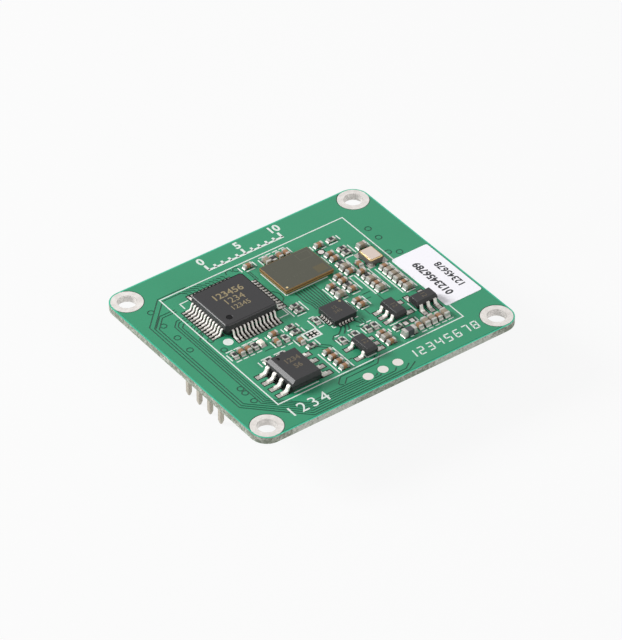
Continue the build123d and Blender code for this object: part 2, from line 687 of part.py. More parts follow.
def regulator_lands():
    """Lands under one regulator's leads, on the board's own level."""
    sizes = (REGULATOR_BODY_WIDTH / 2 + REGULATOR_REACH, REGULATOR_FOOT, REGULATOR_TOE_LAND,
             REGULATOR_LEAD_WIDTH)
    return (lead_lands(*sizes, spread(3, REGULATOR_PITCH), (180,))
            + lead_lands(*sizes, (-REGULATOR_PITCH, REGULATOR_PITCH), (0,)))


def package_lands():
    """The lands under the leads and terminals of the moulded packages."""
    lands = controller_lands() + memory_lands() + power_chip_lands()
    for place in REGULATOR_PLACES.values():
        lands += [Pos(0, 0, -SEAT) * place * piece for piece in regulator_lands()]
    return lands


def test_lands():
    """The bare lands: three test points, a probe point, an array and an empty chip footprint."""
    lands = [Pos(x, TEST_LAND_Y, (TOP + SEAT) / 2) * Cylinder(TEST_LAND_DIAMETER / 2, LAND_THICKNESS)
             for x in spread(3, TEST_LAND_PITCH)]
    lands.append(Pos(*PROBE_LAND, (TOP + SEAT) / 2) * Cylinder(PROBE_LAND_DIAMETER / 2, LAND_THICKNESS))
    for x in spread(3, ARRAY_PITCH):
        for y in spread(2, ARRAY_PITCH):
            lands.append(Pos(ARRAY_X + x, ARRAY_Y + y, 0) * land(ARRAY_LAND, ARRAY_LAND))
    return lands + chip_lands(EMPTY_CHIP)


def label():
    """The bare paper label beside the supply parts."""
    right = BOARD_LENGTH / 2 - LABEL_EDGE_GAP
    plate = rounded_plate(right - LABEL_LEFT, LABEL_LENGTH, LABEL_CORNER, TOP, TOP + LABEL_THICKNESS)
    return Pos((LABEL_LEFT + right) / 2, LABEL_Y, 0) * plate


def save(name, pieces, place=Pos(0, 0, 0)):
    """Write one node: a single solid or a group of like solids."""
    pieces = pieces if isinstance(pieces, list) else [pieces]
    solids = [solid for piece in pieces for solid in (place * piece).solids()]
    shape = solids[0] if len(solids) == 1 else Compound(children=solids)
    shape.label = name
    export_step(shape, os.path.join("parts", name + ".step"))


def save_chips(prefix, group):
    """Write the chip parts of one side of the board."""
    kinds = {SMALL: "small_capacitors", LARGE: "large_capacitors", RESISTOR: "resistor_bases"}
    for kind, name in kinds.items():
        chips = chips_of(group, kind)
        if chips:
            save(prefix + "_" + name, [chip_place(chip) * chip_body(kind) for chip in chips])
    films = [chip_place(chip) * resistor_film() for chip in chips_of(group, RESISTOR)]
    save(prefix + "_resistor_films", films)
    ends = [chip_place(chip) * end for chip in group for end in chip_terminals(chip[0])]
    save(prefix + "_chip_terminals", ends)


def main():
    os.makedirs("parts", exist_ok=True)
    save("circuit_board", circuit_board())
    save("mounting_hole_plating", [hole_plating(x, y) for x, y in HOLES])
    save("package_lands", package_lands())
    save("test_lands", test_lands())
    save("controller_body", controller_body(), CONTROLLER_PLACE)
    save("controller_leads", controller_leads(), CONTROLLER_PLACE)
    save("radar_core", radar_core(), RADAR_PLACE)
    save("radar_antenna_layer", radar_antenna_layer(), RADAR_PLACE)
    save("radar_solder_balls", radar_solder_balls(), RADAR_PLACE)
    save("memory_body", memory_body(), MEMORY_PLACE)
    save("memory_leads", memory_leads(), MEMORY_PLACE)
    save("power_chip_body", power_chip_body(), POWER_CHIP_PLACE)
    save("power_chip_terminals", power_chip_terminals(), POWER_CHIP_PLACE)
    save("power_chip_ground_pad", power_chip_ground_pad(), POWER_CHIP_PLACE)
    for name, place in REGULATOR_PLACES.items():
        save(name + "_body", regulator_body(), place)
        save(name + "_leads", regulator_leads(), place)
    save("crystal_terminals", crystal_terminals(), CRYSTAL_PLACE)
    save("crystal_base", crystal_base(), CRYSTAL_PLACE)
    save("crystal_seal_ring", crystal_seal_ring(), CRYSTAL_PLACE)
    save("crystal_lid", crystal_lid(), CRYSTAL_PLACE)
    ferrite_place = chip_place(FERRITE_CHIPS[0])
    save("ferrite_bead", chip_body(FERRITE), ferrite_place)
    save("ferrite_terminals", chip_terminals(FERRITE), ferrite_place)
    save("status_led_base", led_base(), LED_PLACE)
    save("status_led_terminals", led_terminals(), LED_PLACE)
    save("status_led_lens", led_lens(), LED_PLACE)
    save("left_header_body", header_body(LEFT_HEADER_PINS), Pos(-HEADER_X, 0, 0))
    save("left_header_pins", header_pins(LEFT_HEADER_PINS), Pos(-HEADER_X, 0, 0))
    save("right_header_body", header_body(RIGHT_HEADER_PINS), Pos(HEADER_X, 0, 0))
    save("right_header_pins", header_pins(RIGHT_HEADER_PINS), Pos(HEADER_X, 0, 0))
    save("label", label())
    for prefix, group in CHIP_GROUPS.items():
        save_chips(prefix, group)


main()
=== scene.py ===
import math
from collections import namedtuple
import bmesh
import bpy
from bpy.props import FloatProperty, FloatVectorProperty, PointerProperty
from mathutils import Matrix, Vector


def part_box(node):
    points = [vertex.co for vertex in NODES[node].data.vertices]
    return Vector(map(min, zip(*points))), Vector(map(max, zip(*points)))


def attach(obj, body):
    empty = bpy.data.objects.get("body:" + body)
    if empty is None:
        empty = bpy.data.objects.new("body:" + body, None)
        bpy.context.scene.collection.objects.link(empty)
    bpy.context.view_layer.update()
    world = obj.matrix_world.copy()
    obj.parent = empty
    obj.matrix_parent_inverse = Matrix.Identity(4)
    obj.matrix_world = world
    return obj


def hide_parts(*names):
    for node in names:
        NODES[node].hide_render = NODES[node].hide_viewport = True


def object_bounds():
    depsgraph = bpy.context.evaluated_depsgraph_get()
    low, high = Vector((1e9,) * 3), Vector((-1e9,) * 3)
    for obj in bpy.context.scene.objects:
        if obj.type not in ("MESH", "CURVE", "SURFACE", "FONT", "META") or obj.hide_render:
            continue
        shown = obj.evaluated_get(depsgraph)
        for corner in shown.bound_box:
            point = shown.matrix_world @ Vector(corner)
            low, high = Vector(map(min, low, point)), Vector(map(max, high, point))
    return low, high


bl_info = {
    "name": "Radar Sensor Module",
    "version": (1, 0, 0),
    "blender": (4, 5, 0),
    "location": "View3D > Sidebar > Sensor",
    "description": "Dresses the packed radar sensor module: board finish, solder, parts and stage",
    "category": "Object",
}

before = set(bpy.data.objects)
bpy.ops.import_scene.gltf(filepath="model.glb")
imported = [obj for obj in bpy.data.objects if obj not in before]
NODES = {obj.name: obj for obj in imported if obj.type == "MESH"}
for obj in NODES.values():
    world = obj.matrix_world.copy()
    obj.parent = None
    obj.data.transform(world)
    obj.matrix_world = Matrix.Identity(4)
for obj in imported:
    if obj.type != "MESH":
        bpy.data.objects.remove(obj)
CAD_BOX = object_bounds()
MM = 0.001
FINISH = "_finish"

# Shading turns sharp at an edge above SHARP_ANGLE, or above FLAT_ANGLE beside a face over FLAT_AREA;
# the other angles pick the edges that are dissolved or rounded
SHARP_ANGLE = math.radians(34)
FLAT_ANGLE = math.radians(4)
FLAT_AREA = 0.25
COPLANAR_ANGLE = math.radians(1)
ROUNDED_ANGLE = math.radians(25)
OUTLINE_ANGLE = math.radians(8)
LEAD_CORNER_ANGLE = math.radians(60)
TOP_DEPTH = 0.001  # corners this near a body's top count as part of it

# The board and its solder mask, in millimetres
HALF_X, HALF_Y, TOP = (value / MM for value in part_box("circuit_board")[1])
CORNER_RADIUS = 2.0
HOLE_X, HOLE_Y = 15.5, 13.0
HOLES = [(sx * HOLE_X, sy * HOLE_Y) for sx in (-1, 1) for sy in (-1, 1)]
HOLE_LAND_RADIUS = 1.83
HOLE_LAND_LAP = 0.3
HOLE_LAND_GAP = 0.1
MASK_BASE = 0.006
MASK_TOP = 0.037
SILK_TOP = 0.04
POUR_INSET = 0.22
POUR_CORNER = CORNER_RADIUS - 0.2
RING_RADIUS = 0.36
WIDE_GAP_SHARE = 1.3
TEST_LAND_LAP = 0.02
# Height of the bare gaps, and of the painted shade under the leads, above the mask's film
BARE_AND_SHADE_RISE = 0.003
CUT_REACH = 0.1
ROUND_SIDES = 48
TEST_LAND_SIDES = 40
LARGE_LAND = 0.9  # width that tells a round test land from the small bare ones
MEMORY_SHADE_BAND = (0.3, 0.45)  # painted shade: a dark band under the memory's lead ends where the body's shadow falls; its reach inwards and outwards

# Chips: marks sit in a hollow as deep as MARK_RISE, so that they stay within the body's height
MARK_RISE = 0.003
FINE_ROUND = 0.012
CHIP_ROUND = 0.035
FILM_ROUND = 0.008
FERRITE_ROUND = 0.05
FILLET_REACH = 0.16
FILLET_LAP = 0.06
PILLOW_RISE = 0.018
PILLOW_INSET = 0.01
PILLOW_ROUND = 0.016
CHIP_TERMINAL_NODES = (
    "controller_side_chip_terminals", "radar_side_chip_terminals", "supply_side_chip_terminals",
    "ferrite_terminals", "status_led_terminals",
)
CHIP_BODY_NODES = (
    "controller_side_small_capacitors", "controller_side_resistor_bases",
    "radar_side_small_capacitors", "radar_side_large_capacitors", "radar_side_resistor_bases",
    "supply_side_small_capacitors", "supply_side_large_capacitors", "supply_side_resistor_bases",
    "ferrite_bead", "status_led_base",
)
REGULATORS = ("regulator_a", "regulator_b", "regulator_c")

# Formed leads in millimetres
LeadShape = namedtuple("LeadShape", "thickness foot shoulder bend")
LEAD_SHAPES = {"controller": LeadShape(0.14, 0.55, 0.22, 0.16), "memory": LeadShape(0.2, 0.6, 0.24, 0.24)}
LEAD_SHAPES.update(dict.fromkeys(REGULATORS, LeadShape(0.15, 0.35, 0.12, 0.11)))
LEAD_EDGE = 0.02

# Painted shade: the dark discs stand in for the shade inside the pin-one recesses
# Dark discs in the round recesses by pin 1: the ends of the body's box that X and Y are measured from,
# the way from them, and the radius; then how far the disc's face and its underside lie below the top
PIN_ONE_RECESSES = [
    ("controller_body", (0, 0), (1.27, 1.27), 0.37),
    ("memory_body", (0, 1), (1.24, -0.75), 0.21),
]
RECESS_DEPTH, RECESS_UNDER = 0.054, 0.062
POWER_DOT = (0.42, 0.16)

# Plain numbers on the chips: height and weight are the digits', place is from the body's middle
Mark = namedtuple("Mark", "node text place height weight turn", defaults=(0, 0))
BOLD_MARKS = [
    Mark("controller_body", "123456", (0.05, 1.3), 0.95, 0.02),
    Mark("controller_body", "1234", (0.05, 0.02), 0.95),
    Mark("controller_body", "12345", (0.05, -1.2), 0.72),
]
FAINT_MARKS = [
    Mark("memory_body", "1234", (0.35, 0.8), 0.7, 0.03),
    Mark("memory_body", "56", (0.35, -0.35), 0.7, 0.03),
    Mark("power_chip_body", "12", (-0.1, 0.5), 0.5),
    Mark("power_chip_body", "345", (-0.1, -0.2), 0.5),
] + [Mark(name + "_body", "12", (0, 0), 0.62, 0, -math.pi / 2) for name in REGULATORS]

# Printed white lines, in millimetres: each entry is a run of points
FRAME_LINE = [(-12.5, -10.92), (12.5, -10.92), (12.5, 11.07), (-12.5, 11.07), (-12.5, -10.92)]


def upright(x, *spans):
    """Printed lines along Y at one x."""
    return [[(x, low), (x, high)] for low, high in spans]


def level(y, *spans):
    """Printed lines along X at one y."""
    return [[(low, y), (high, y)] for low, high in spans]


PRINTED_LINES = (
    upright(3.0, (0, 2.05)) + upright(4.65, (2.5, 3.0)) + upright(6.6, (-0.5, 2.0))
    + upright(7.28, (-2.15, 2.0)) + level(1.97, (6.6, 7.28)) + upright(9.2, (-2.15, 2.0))
    + level(-2.35, (7.75, 8.8)) + level(-0.7, (3.8, 4.5)) + level(-0.67, (5.1, 6.2))
    + upright(3.8, (-3.3, -1.4)) + upright(5.77, (-3.2, -1.5)) + level(-3.37, (4.3, 5.4))
    + upright(9.8, (-3.7, 1.45)) + upright(11.75, (-3.7, 1.45)) + level(-3.9, (10.1, 11.3))
    + upright(6.33, (8.15, 8.95), (5.15, 6.75)) + upright(9.95, (8.05, 8.9), (5.1, 6.75))
    + level(7.87, (7.25, 7.9), (8.3, 9.5)) + level(4.92, (8.3, 9.4)) + upright(8.2, (2.0, 4.85))
    + upright(11.95, (5.1, 5.9)) + upright(-0.85, (3.47, 8.3)) + level(3.47, (-0.85, 4.8))
    + level(-10.4, (7.22, 7.94), (8.2, 8.8), (9.08, 9.75), (9.97, 10.67), (10.86, 11.58))
    + level(-7.48, (5.05, 6.1)) + level(-7.4, (6.1, 7.58)) + upright(8.99, (-7.1, -5.5))
    + upright(8.19, (-8.5, -7.8)) + level(-8.7, (5.03, 5.5)) + upright(4.6, (-8.4, -7.75))
    + level(-10.3, (5.8, 6.2)) + upright(-12.15, (-2.2, -1.0))
    + level(-0.66, (-12, -11.1), (-10.95, -10.15), (-9.9, -9.2), (-9.15, -8.45))
    + level(-2.6, (-11.94, -11.2), (-11, -10.3), (-10.1, -9.45), (-9.25, -8.55))
    + upright(-7.05, (-1.5, -0.95), (-3.15, -1.95))
    + upright(-4.83, (-1.5, -0.9), (-2.7, -2.0), (-4.45, -3.15))
    + level(-3.47, (-6.65, -6.1)) + level(-3.5, (-5.75, -5.1))
    + upright(-2.88, (-1.65, -0.95), (-2.75, -1.95), (-5.5, -4.45))
    + level(-3.9, (-9.7, -8.4)) + level(-3.95, (-8.0, -6.8)) + upright(-10.15, (-4.9, -4.0))
    + level(-10.4, (-10, -6.7)) + upright(-4.1, (-10.6, -6.7)) + upright(-2.15, (-10.6, -6.7))
    + upright(3.83, (-3.2, -1.0)) + level(-4.08, (2.9, 3.3)) + level(-10.3, (-0.1, 1.1))
    + upright(-0.17, (-10.3, -9.6))
    + upright(-2.3, (0, 1.9), (9.7, 10.6)) + upright(-0.35, (0, 1.9), (9.7, 10.6), (-2.9, -1.4))
    + level(-0.15, (-2.0, -0.8)) + level(9.5, (-1.85, -0.7)) + upright(-1.6, (-2.9, -1.4))
    + level(-1.2, (-1.3, -0.6)) + level(-3.1, (-1.3, -0.6)) + upright(0.33, (9.3, 10.4))
    + level(10.62, (0.55, 1.3), (1.5, 2.2), (2.4, 3.1), (3.3, 4.0))
    + upright(4.25, (-7, -5.9), (9.3, 10.4))
    + upright(-1.15, (-7, -5.9)) + upright(-0.1, (-7, -5.9)) + upright(0.55, (-7, -5.9))
    + upright(1.65, (-7, -5.9)) + upright(2.25, (-7, -5.9)) + level(-5.45, (-0.9, -0.35), (0.8, 1.4))
    + level(-5.45, (2.5, 3.1), (3.4, 4.0)) + upright(-0.05, (-4.1, -3.7)) + level(-4.1, (-0.05, 0.35))
    + [[(-11.1, 8.2), (-11.1, 9.2), (-10.0, 9.2)], [(-3.75, 0.77), (-2.55, 0.77), (-2.55, 1.9)]]
)
DIGIT_SHARE = 0.7  # a digit's height as a share of its font size
SEGMENT_WIDTH, SEGMENT_HEIGHT, SEGMENT_LEAN, SEGMENT_LINE_SHARE = 0.62, 1.15, 0.12, 1.1
SEGMENT_ENDS = {
    "a": ((0, 1), (1, 1)), "b": ((1, 1), (1, 0.5)), "c": ((1, 0.5), (1, 0)), "d": ((0, 0), (1, 0)),
    "e": ((0, 0), (0, 0.5)), "f": ((0, 0.5), (0, 1)), "g": ((0, 0.5), (1, 0.5)),
}
SEGMENTS_OF = {"1": "bc", "2": "abged", "3": "abgcd", "4": "fgbc", "5": "afgcd", "6": "afgedc",
               "7": "abc", "8": "abcdefg"}
ARRAY_LINE = 0.22
ARRAY_FRAME = [(-3.55, -4.18), (-1.72, -4.18), (-1.72, -3.0), (-3.55, -3.0), (-3.55, -4.18)]
RINGS = [
    (-14.5, 9.85), (-14.7, 7.15), (-14.65, 4.6), (-14.75, 2.1), (-14.2, -6.45), (-14.2, -7.3),
    (-14.2, -8.9), (13.6, 7.7), (13.6, 5.75), (12.85, 3.0), (13.9, 2.3), (-12.0, 2.1), (-11.8, -0.1),
    (-2.6, 10.5),
]

PIN_ONE_DOT = (-10.65, 0.75, 0.58)
LED_BAR = ((-8.35, -0.75), (-7.65, -0.45))
SCALE_FOOT, SCALE_SHORT, SCALE_LONG, SCALE_LINE = 12.2, 12.75, 13.15, 0.3
SCALE_HALF = 5
SCALE_DIGIT_Y, SCALE_DIGIT_HEIGHT, SCALE_DIGIT_WEIGHT = 13.9, 1.1, 0.05
PIN_DIGIT_START, PIN_DIGIT_STEP, PIN_DIGIT_HEIGHT = (-12.1, -12.85), 1.45, 1.55
SEGMENT_START, SEGMENT_STEP = (3.7, -13.4), 1.22
LABEL_ROWS = [("0123456789", (13.95, -3.7), 0.92, 0.05), ("12345678", (15.95, -4.2), 0.86, 0.035)]

# Lines on the radar package, from its low corner
RADAR_FRAME = [(4.45, 3.35), (6.1, 3.35), (6.1, 4.5), (4.45, 4.5), (4.45, 3.35)]
RADAR_LINE = 0.09
RADAR_TICK = 0.15
RADAR_TICKS_ALONG = [(1.2 + 0.45 * i, 1.5) for i in range(6)]
RADAR_TICKS_ACROSS = [(1.0, 3.2 + 0.4 * i) for i in range(3)]
RADAR_FILM_INSET, RADAR_FILM_RISE = 0.04, 0.004
RADAR_LINE_RISE, RADAR_PATCH_RISE = 0.006, 0.005
RADAR_SEAM_PROUD, RADAR_SEAM_FOOT, RADAR_SEAM_HEAD = 0.008, 0.055, 0.03
RADAR_PATCH = ((-1.75, 0.45), (-0.3, 1.65))  # X from the package's high end
RADAR_GOLD_DOT = (0.42, 0.15)

# Solder at each corner of the crystal, first the pad's and then the fillet's:
# out along X and Y, inwards, foot, head and rounding
CRYSTAL_SOLDER = [(0.3, 0.28, 0.5, 0.01, 0.09, 0.04), (0.03, 0.03, 0.34, 0.05, 0.36, 0.03)]

# Gaps in the copper, drawn as lines: the copper left between two of them is a track
GAP_LINES = [
    [(-8.8, 11.3), (-12.6, 11.3), (-16.1, 7.8), (-16.1, -8.9), (-10.4, -14.6), (2.3, -14.6),
     (3.6, -13.9)],
    [(-9.9, 10.72), (-12.35, 10.72), (-15.75, 7.32), (-15.75, -8.76), (-10.26, -14.25), (2.1, -14.25),
     (2.9, -13.7)],
    [(-12.1, 8.75), (-14.1, 8.75), (-15.6, 7.25)],
    [(-12.1, 8.35), (-14.0, 8.35), (-15.4, 6.95), (-15.4, -8.62), (-10.12, -13.9), (0.9, -13.9),
     (1.35, -13.5)],
    [(-12.0, 7.0), (-13.1, 7.0), (-13.82, 6.28), (-13.82, -9.7), (-9.97, -13.55), (-0.8, -13.55),
     (-0.5, -13.3)],
    [(-12.0, 6.6), (-13.0, 6.6), (-13.5, 6.1), (-13.5, -9.62), (-9.87, -13.25), (-1.1, -13.25),
     (-0.85, -13.0)],
    [(-12.0, 6.1), (-12.8, 6.1), (-13.2, 5.7), (-13.2, -9.54), (-9.79, -12.95), (-2.75, -12.95)],
    [(-11.9, 3.9), (-12.93, 2.85), (-12.93, -9.44), (-9.74, -12.63), (-2.75, -12.63)],
    [(-4.45, -11.2), (-5.25, -11.95), (-5.25, -12.25), (-4.95, -12.45)],
    [(1.35, -10.55), (0.15, -11.75), (-4.0, -11.75), (-4.75, -12.45)],
    [(0.7, -10.5), (0.0, -11.2), (-4.45, -11.2)],
    [(4.6, -3.4), (4.6, -4.6)], [(5.9, -1.35), (7.0, -1.35)], [(7.3, -2.2), (7.3, -4.5)],
    [(-1.85, 9.4), (-1.85, 7.6)], [(-1.6, 9.4), (-1.6, 7.6)],
    [(-2.3, 5.1), (-1.6, 4.9), (-1.2, 4.2), (-1.3, 3.3), (-1.9, 2.8)],
    [(-4.0, 10.3), (-3.85, 10.75), (-3.5, 10.9), (-3.2, 10.75), (-3.1, 10.4)],
    [(-6.6, -3.2), (-7.6, -2.9), (-8.4, -2.9)], [(-0.6, 10.9), (-0.6, 9.9)],
    [(-3.4, -5.0), (-2.1, -6.3), (-2.1, -6.7)], [(-3.4, -5.6), (-2.5, -6.5)],
    [(-3.3, -6.3), (-2.7, -6.9)],
    [(-0.1, -5.25), (-0.9, -5.25), (-1.3, -5.65), (-1.3, -6.2)], [(2.1, -5.3), (2.8, -6.0), (4.1, -6.0)],
    [(-1.3, -1.8), (-1.1, -1.3), (-0.6, -1.2)], [(-2.4, -2.9), (-3.1, -2.2)], [(5.3, -2.2), (6.5, -2.2)],
    [(3.1, -4.6), (3.1, -5.7)], [(3.4, -4.6), (3.4, -5.7)], [(-2.4, -9.4), (-1.5, -9.4)],
]

# The underside: lands, solder, frames and numbers at the headers' feet, and gaps between its tracks
FOOT_PAST_TIP, FOOT_INWARDS, FOOT_HALF_WIDTH = 0.35, 1.45, 0.45
FOOT_LAND_LOW, FOOT_LAND_HIGH = -0.034, -0.002
FOOT_SOLDER_LOW, FOOT_SOLDER_HIGH, FOOT_SOLDER_INSET, FOOT_SOLDER_ROUND = -0.2, -0.03, 0.05, 0.08
UNDER_FRAME_X, UNDER_FRAME_Y, UNDER_EDGE_CLEAR = 1.9, 0.4, 0.3
UNDER_DIGIT_GAP, UNDER_DIGIT_HEIGHT = 0.8, 0.9
UNDER_GAPS = [
    [(-13.6, 5.5), (-13.6, 9.6), (-12.2, 11.0), (8.4, 11.0), (10.4, 9.0)],
    [(-13.2, 5.5), (-13.2, 9.45), (-12.05, 10.6), (8.25, 10.6), (10.0, 8.85)],
    [(-8.0, -12.6), (8.6, -12.6), (11.2, -10.0)], [(-8.0, -12.2), (8.45, -12.2), (10.8, -9.85)],
    [(-8.0, -11.8), (8.3, -11.8), (10.4, -9.7)], [(-5.5, 6.2), (-5.5, -6.2), (-3.0, -8.7), (4.5, -8.7)],
    [(-5.1, 6.2), (-5.1, -6.05), (-2.85, -8.3), (4.5, -8.3)],
    [(2.0, 4.0), (6.4, 4.0), (8.6, 1.8), (8.6, -3.0)], [(2.0, 3.6), (6.25, 3.6), (8.2, 1.65), (8.2, -3.0)],
    [(-2.0, 0.8), (1.6, 0.8), (3.2, -0.8), (3.2, -5.4)],
]


def fan_out():
    """Gap lines that spread from the controller's back and left leads."""
    lines = []
    for i in range(11):
        x = -9.38 + 0.5 * i
        lean = 0.65 if i < 6 else 0.28
        lines.append([(x, 10.02), (x - 0.08, 10.3), (x - 0.08 - lean, 10.3 + 0.85 * lean)])
    for i in range(5):
        y = 5.4 - 0.5 * i
        lines.append([(-12.0, y), (-12.3, y - 0.1), (-12.65, y - 0.55)])
    return lines


def wide_gaps():
    """The wider gaps between the tracks that join the radar package and the power chip."""
    lines = [[(0.2 + 0.357 * i, 3.3), (0.2 + 0.357 * i, 1.3), (0.45 + 0.3 * i, 0.6), (0.45 + 0.3 * i, -0.4)]
             for i in range(8)]
    lines += [[(0.85, -4.3), (0.3, -4.9), (-0.7, -5.6)], [(1.25, -4.3), (0.9, -5.0), (0.3, -5.6)],
              [(1.65, -4.3), (1.4, -5.0), (1.05, -5.5)], [(2.45, -4.3), (2.9, -5.2), (3.2, -5.6)]]
    return lines


# Where patterns fade on the board, in millimetres: over the rim of the mask, over the edge of a hole,
# and along the edge where the boards were broken apart
# RIM_FADE: where the painted highlight along the board's rim fades into the dark mask
RIM_FADE = (0.1, 0.3)
BARREL_FADE = (1.16, 1.12)
TORN_START, TORN_END = (4.5, 6.0), (14.0, 12.8)

# The stage, in metres, and the world's light from below and from above as shares of its strength
FLOOR_SIZE = 3.0
KEY_SIZE, KEY_PLACE = 0.16, (-0.283, 0.279, 0.23)
FILL_SIZE, FILL_PLACE = 0.3, (0.06, -0.4, 0.2)
WORLD_LOW, WORLD_HIGH = 0.25, 1.35

# Every finish: the property with its colour, how much lighter it is, the tint of the grain, the
# grain's scale per millimetre, the tint's amount, roughness and its spread, and relief in millimetres
Finish = namedtuple("Finish", "look colour lightness tint scale amount roughness spread bump"
                              " metallic specular", defaults=(0.0, 0.5))
BOARD, METAL, PACKAGE, STAGE = "board_look", "metal_look", "package_look", "stage_look"
FINISHES = {
    "solder_mask": Finish(BOARD, "mask", 1, 0.9, 5, 0.2, 0.36, 0.12, 0.002, specular=0.35),
    "mask_over_laminate": Finish(BOARD, "gap", 1, 0.8, 3, 0.25, 0.32, 0.1, 0.002),
    "laminate_edge": Finish(BOARD, "laminate", 1, 0.6, 7, 0.5, 0.8, 0.2, 0.05, specular=0.3),
    # Bare laminate round the lands, near black so that it is also the painted shade under the leads
    "bare_laminate": Finish(BOARD, "bare", 1, 0.7, 9, 0.5, 0.5, 0.2, 0.002, specular=0.3),
    "print_white": Finish(BOARD, "print_white", 1, 0.85, 8, 0.4, 0.6, 0.2, 0.003),
    "hole_plating": Finish(METAL, "tin", 1, 0.8, 3, 0.25, 0.4, 0.2, 0.004, 0.4),
    "land_tin": Finish(METAL, "land", 1, 0.87, 3, 0.5, 0.42, 0.2, 0.004, 0.5),
    # Lit and shaded copies of the tin: painted shade darkens it on the small terminals, balls and pads, and
    # painted light lightens it on the leads
    "bright_tin": Finish(METAL, "tin", 0.72, 0.66, 5, 0.6, 0.38, 0.2, 0.003, 0.45),
    "lead_tin": Finish(METAL, "tin", 1.04, 0.88, 5, 0.5, 0.5, 0.15, 0.003, 0.1),
    "reflowed_solder": Finish(METAL, "solder", 1, 0.7, 4, 0.6, 0.42, 0.2, 0.004, 0.4),
    "radar_gold_mark": Finish(METAL, "gold", 1, 0.8, 6, 0.4, 0.35, 0.15, 0.003, 0.7),
    "gold_ring": Finish(METAL, "gold", 1, 0.8, 6, 0.4, 0.3, 0.15, 0.004, 0.9),
    "crystal_lid": Finish(METAL, "lid", 1, 0.9, 2, 0.5, 0.36, 0.15, 0.003, 0.8),
    "header_pins": Finish(METAL, "pins", 1, 0.75, 4, 0.6, 0.36, 0.2, 0.004, 0.5),
    "mould_compound": Finish(PACKAGE, "compound", 1, 0.6, 14, 0.5, 0.38, 0.12, 0.001, specular=0.42),
    # Painted shade: the compound darkened to a quarter, for the floor of the pin-one recesses
    "recess_floor": Finish(PACKAGE, "compound", 0.25, 0.6, 14, 0.5, 0.6, 0.1, 0.001, specular=0.15),
    "package_marking": Finish(PACKAGE, "marking", 1, 0.7, 9, 0.8, 0.6, 0.2, 0.002, specular=0.3),
    "faint_marking": Finish(PACKAGE, "faint_marking", 1, 0.7, 9, 0.8, 0.6, 0.2, 0.002, specular=0.3),
    "radar_laminate_side": Finish(PACKAGE, "laminate_side", 1, 0.6, 9, 0.6, 0.5, 0.2, 0.006),
    "radar_seam": Finish(PACKAGE, "laminate_seam", 1, 0.7, 9, 0.5, 0.6, 0.2, 0.004),
    "radar_top_mask": Finish(PACKAGE, "laminate_top", 1, 0.85, 2, 0.4, 0.4, 0.15, 0.003, specular=0.4),
    "radar_top_line": Finish(PACKAGE, "laminate_top", 1.35, 0.85, 2, 0.4, 0.42, 0.15, 0.003, specular=0.4),
    "radar_top_tan": Finish(PACKAGE, "laminate_tan", 1, 0.85, 2, 0.5, 0.42, 0.15, 0.003, specular=0.4),
    "brown_ceramic": Finish(PACKAGE, "brown_ceramic", 1, 0.75, 2.5, 0.8, 0.42, 0.2, 0.006),
    "beige_ceramic": Finish(PACKAGE, "beige_ceramic", 1, 0.78, 2.5, 0.8, 0.45, 0.2, 0.006),
    "white_ceramic": Finish(PACKAGE, "white_ceramic", 1, 0.85, 5, 0.5, 0.5, 0.2, 0.004),
    "resistor_film": Finish(PACKAGE, "resistor_film", 1, 0.5, 6, 0.5, 0.3, 0.15, 0.004),
    "ferrite": Finish(PACKAGE, "ferrite", 1, 0.7, 8, 0.6, 0.45, 0.2, 0.01),
    "dark_ceramic": Finish(PACKAGE, "crystal_base", 1, 0.75, 8, 0.5, 0.6, 0.2, 0.003),
    "led_lens": Finish(PACKAGE, "lens", 1, 0.92, 3, 0.5, 0.35, 0.15, 0.004),
    "led_carrier": Finish(PACKAGE, "carrier", 1, 0.85, 5, 0.5, 0.5, 0.2, 0.004),
    "label_paper": Finish(PACKAGE, "label", 1, 0.94, 3, 0.5, 0.45, 0.15, 0.004),
    "label_ink": Finish(PACKAGE, "label_ink", 1, 0.8, 9, 0.6, 0.5, 0.2, 0.002),
    "header_plastic": Finish(PACKAGE, "header_plastic", 1, 0.7, 10, 0.5, 0.5, 0.15, 0.008),
}


def srgb(red, green, blue):
    """An opaque colour given as 0 to 255 on screen, as Blender's linear values."""
    linear = [v / 255 / 12.92 if v <= 10 else ((v / 255 + 0.055) / 1.055) ** 2.4
              for v in (red, green, blue)]
    return (*linear, 1)


def colour(name, description, value):
    return FloatVectorProperty(name=name, description=description, subtype="COLOR", size=4,
                               min=0, max=1, default=srgb(*value))


def length(name, description, millimetres):
    return FloatProperty(name=name, description=description, subtype="DISTANCE", unit="LENGTH",
                         default=millimetres * MM, precision=5)


def share(name, description, value):
    return FloatProperty(name=name, description=description, subtype="FACTOR", min=0, max=1,
                         default=value)


def angle(name, description, degrees):
    return FloatProperty(name=name, description=description, subtype="ANGLE",
                         default=math.radians(degrees))


class BoardLook(bpy.types.PropertyGroup):
    mask: colour("Solder mask", "Mask over copper", (49, 143, 105))
    gap: colour("Mask in gaps", "Mask over bare laminate between tracks", (0, 76, 54))
    # Painted highlight: a bright band of mask along the board's edge, where its top edge catches the light
    rim: colour("Mask at the edge", "Mask over bare laminate at the board's edge", (60, 196, 158))
    laminate: colour("Laminate", "Cut edge of the board", (134, 141, 126))
    fibre: colour("Glass fibre", "Broken glass fibre in the cut edge", (200, 203, 194))
    print_white: colour("Print", "White printed lines", (226, 232, 227))
    # Near black: real bare laminate round the lands, and also painted shade under and between the
    # controller's and memory's leads
    bare: colour("Bare laminate", "Bare laminate round the lands", (30, 44, 36))
    line_width: length("Line width", "Width of the printed lines", 0.15)
    gap_width: length("Gap width", "Bare gap beside a track", 0.15)
    land_gap: length("Land gap", "Bare gap round a land", 0.15)
    test_land_opening: share("Test land opening", "Share of a test land's radius left clear", 0.85)


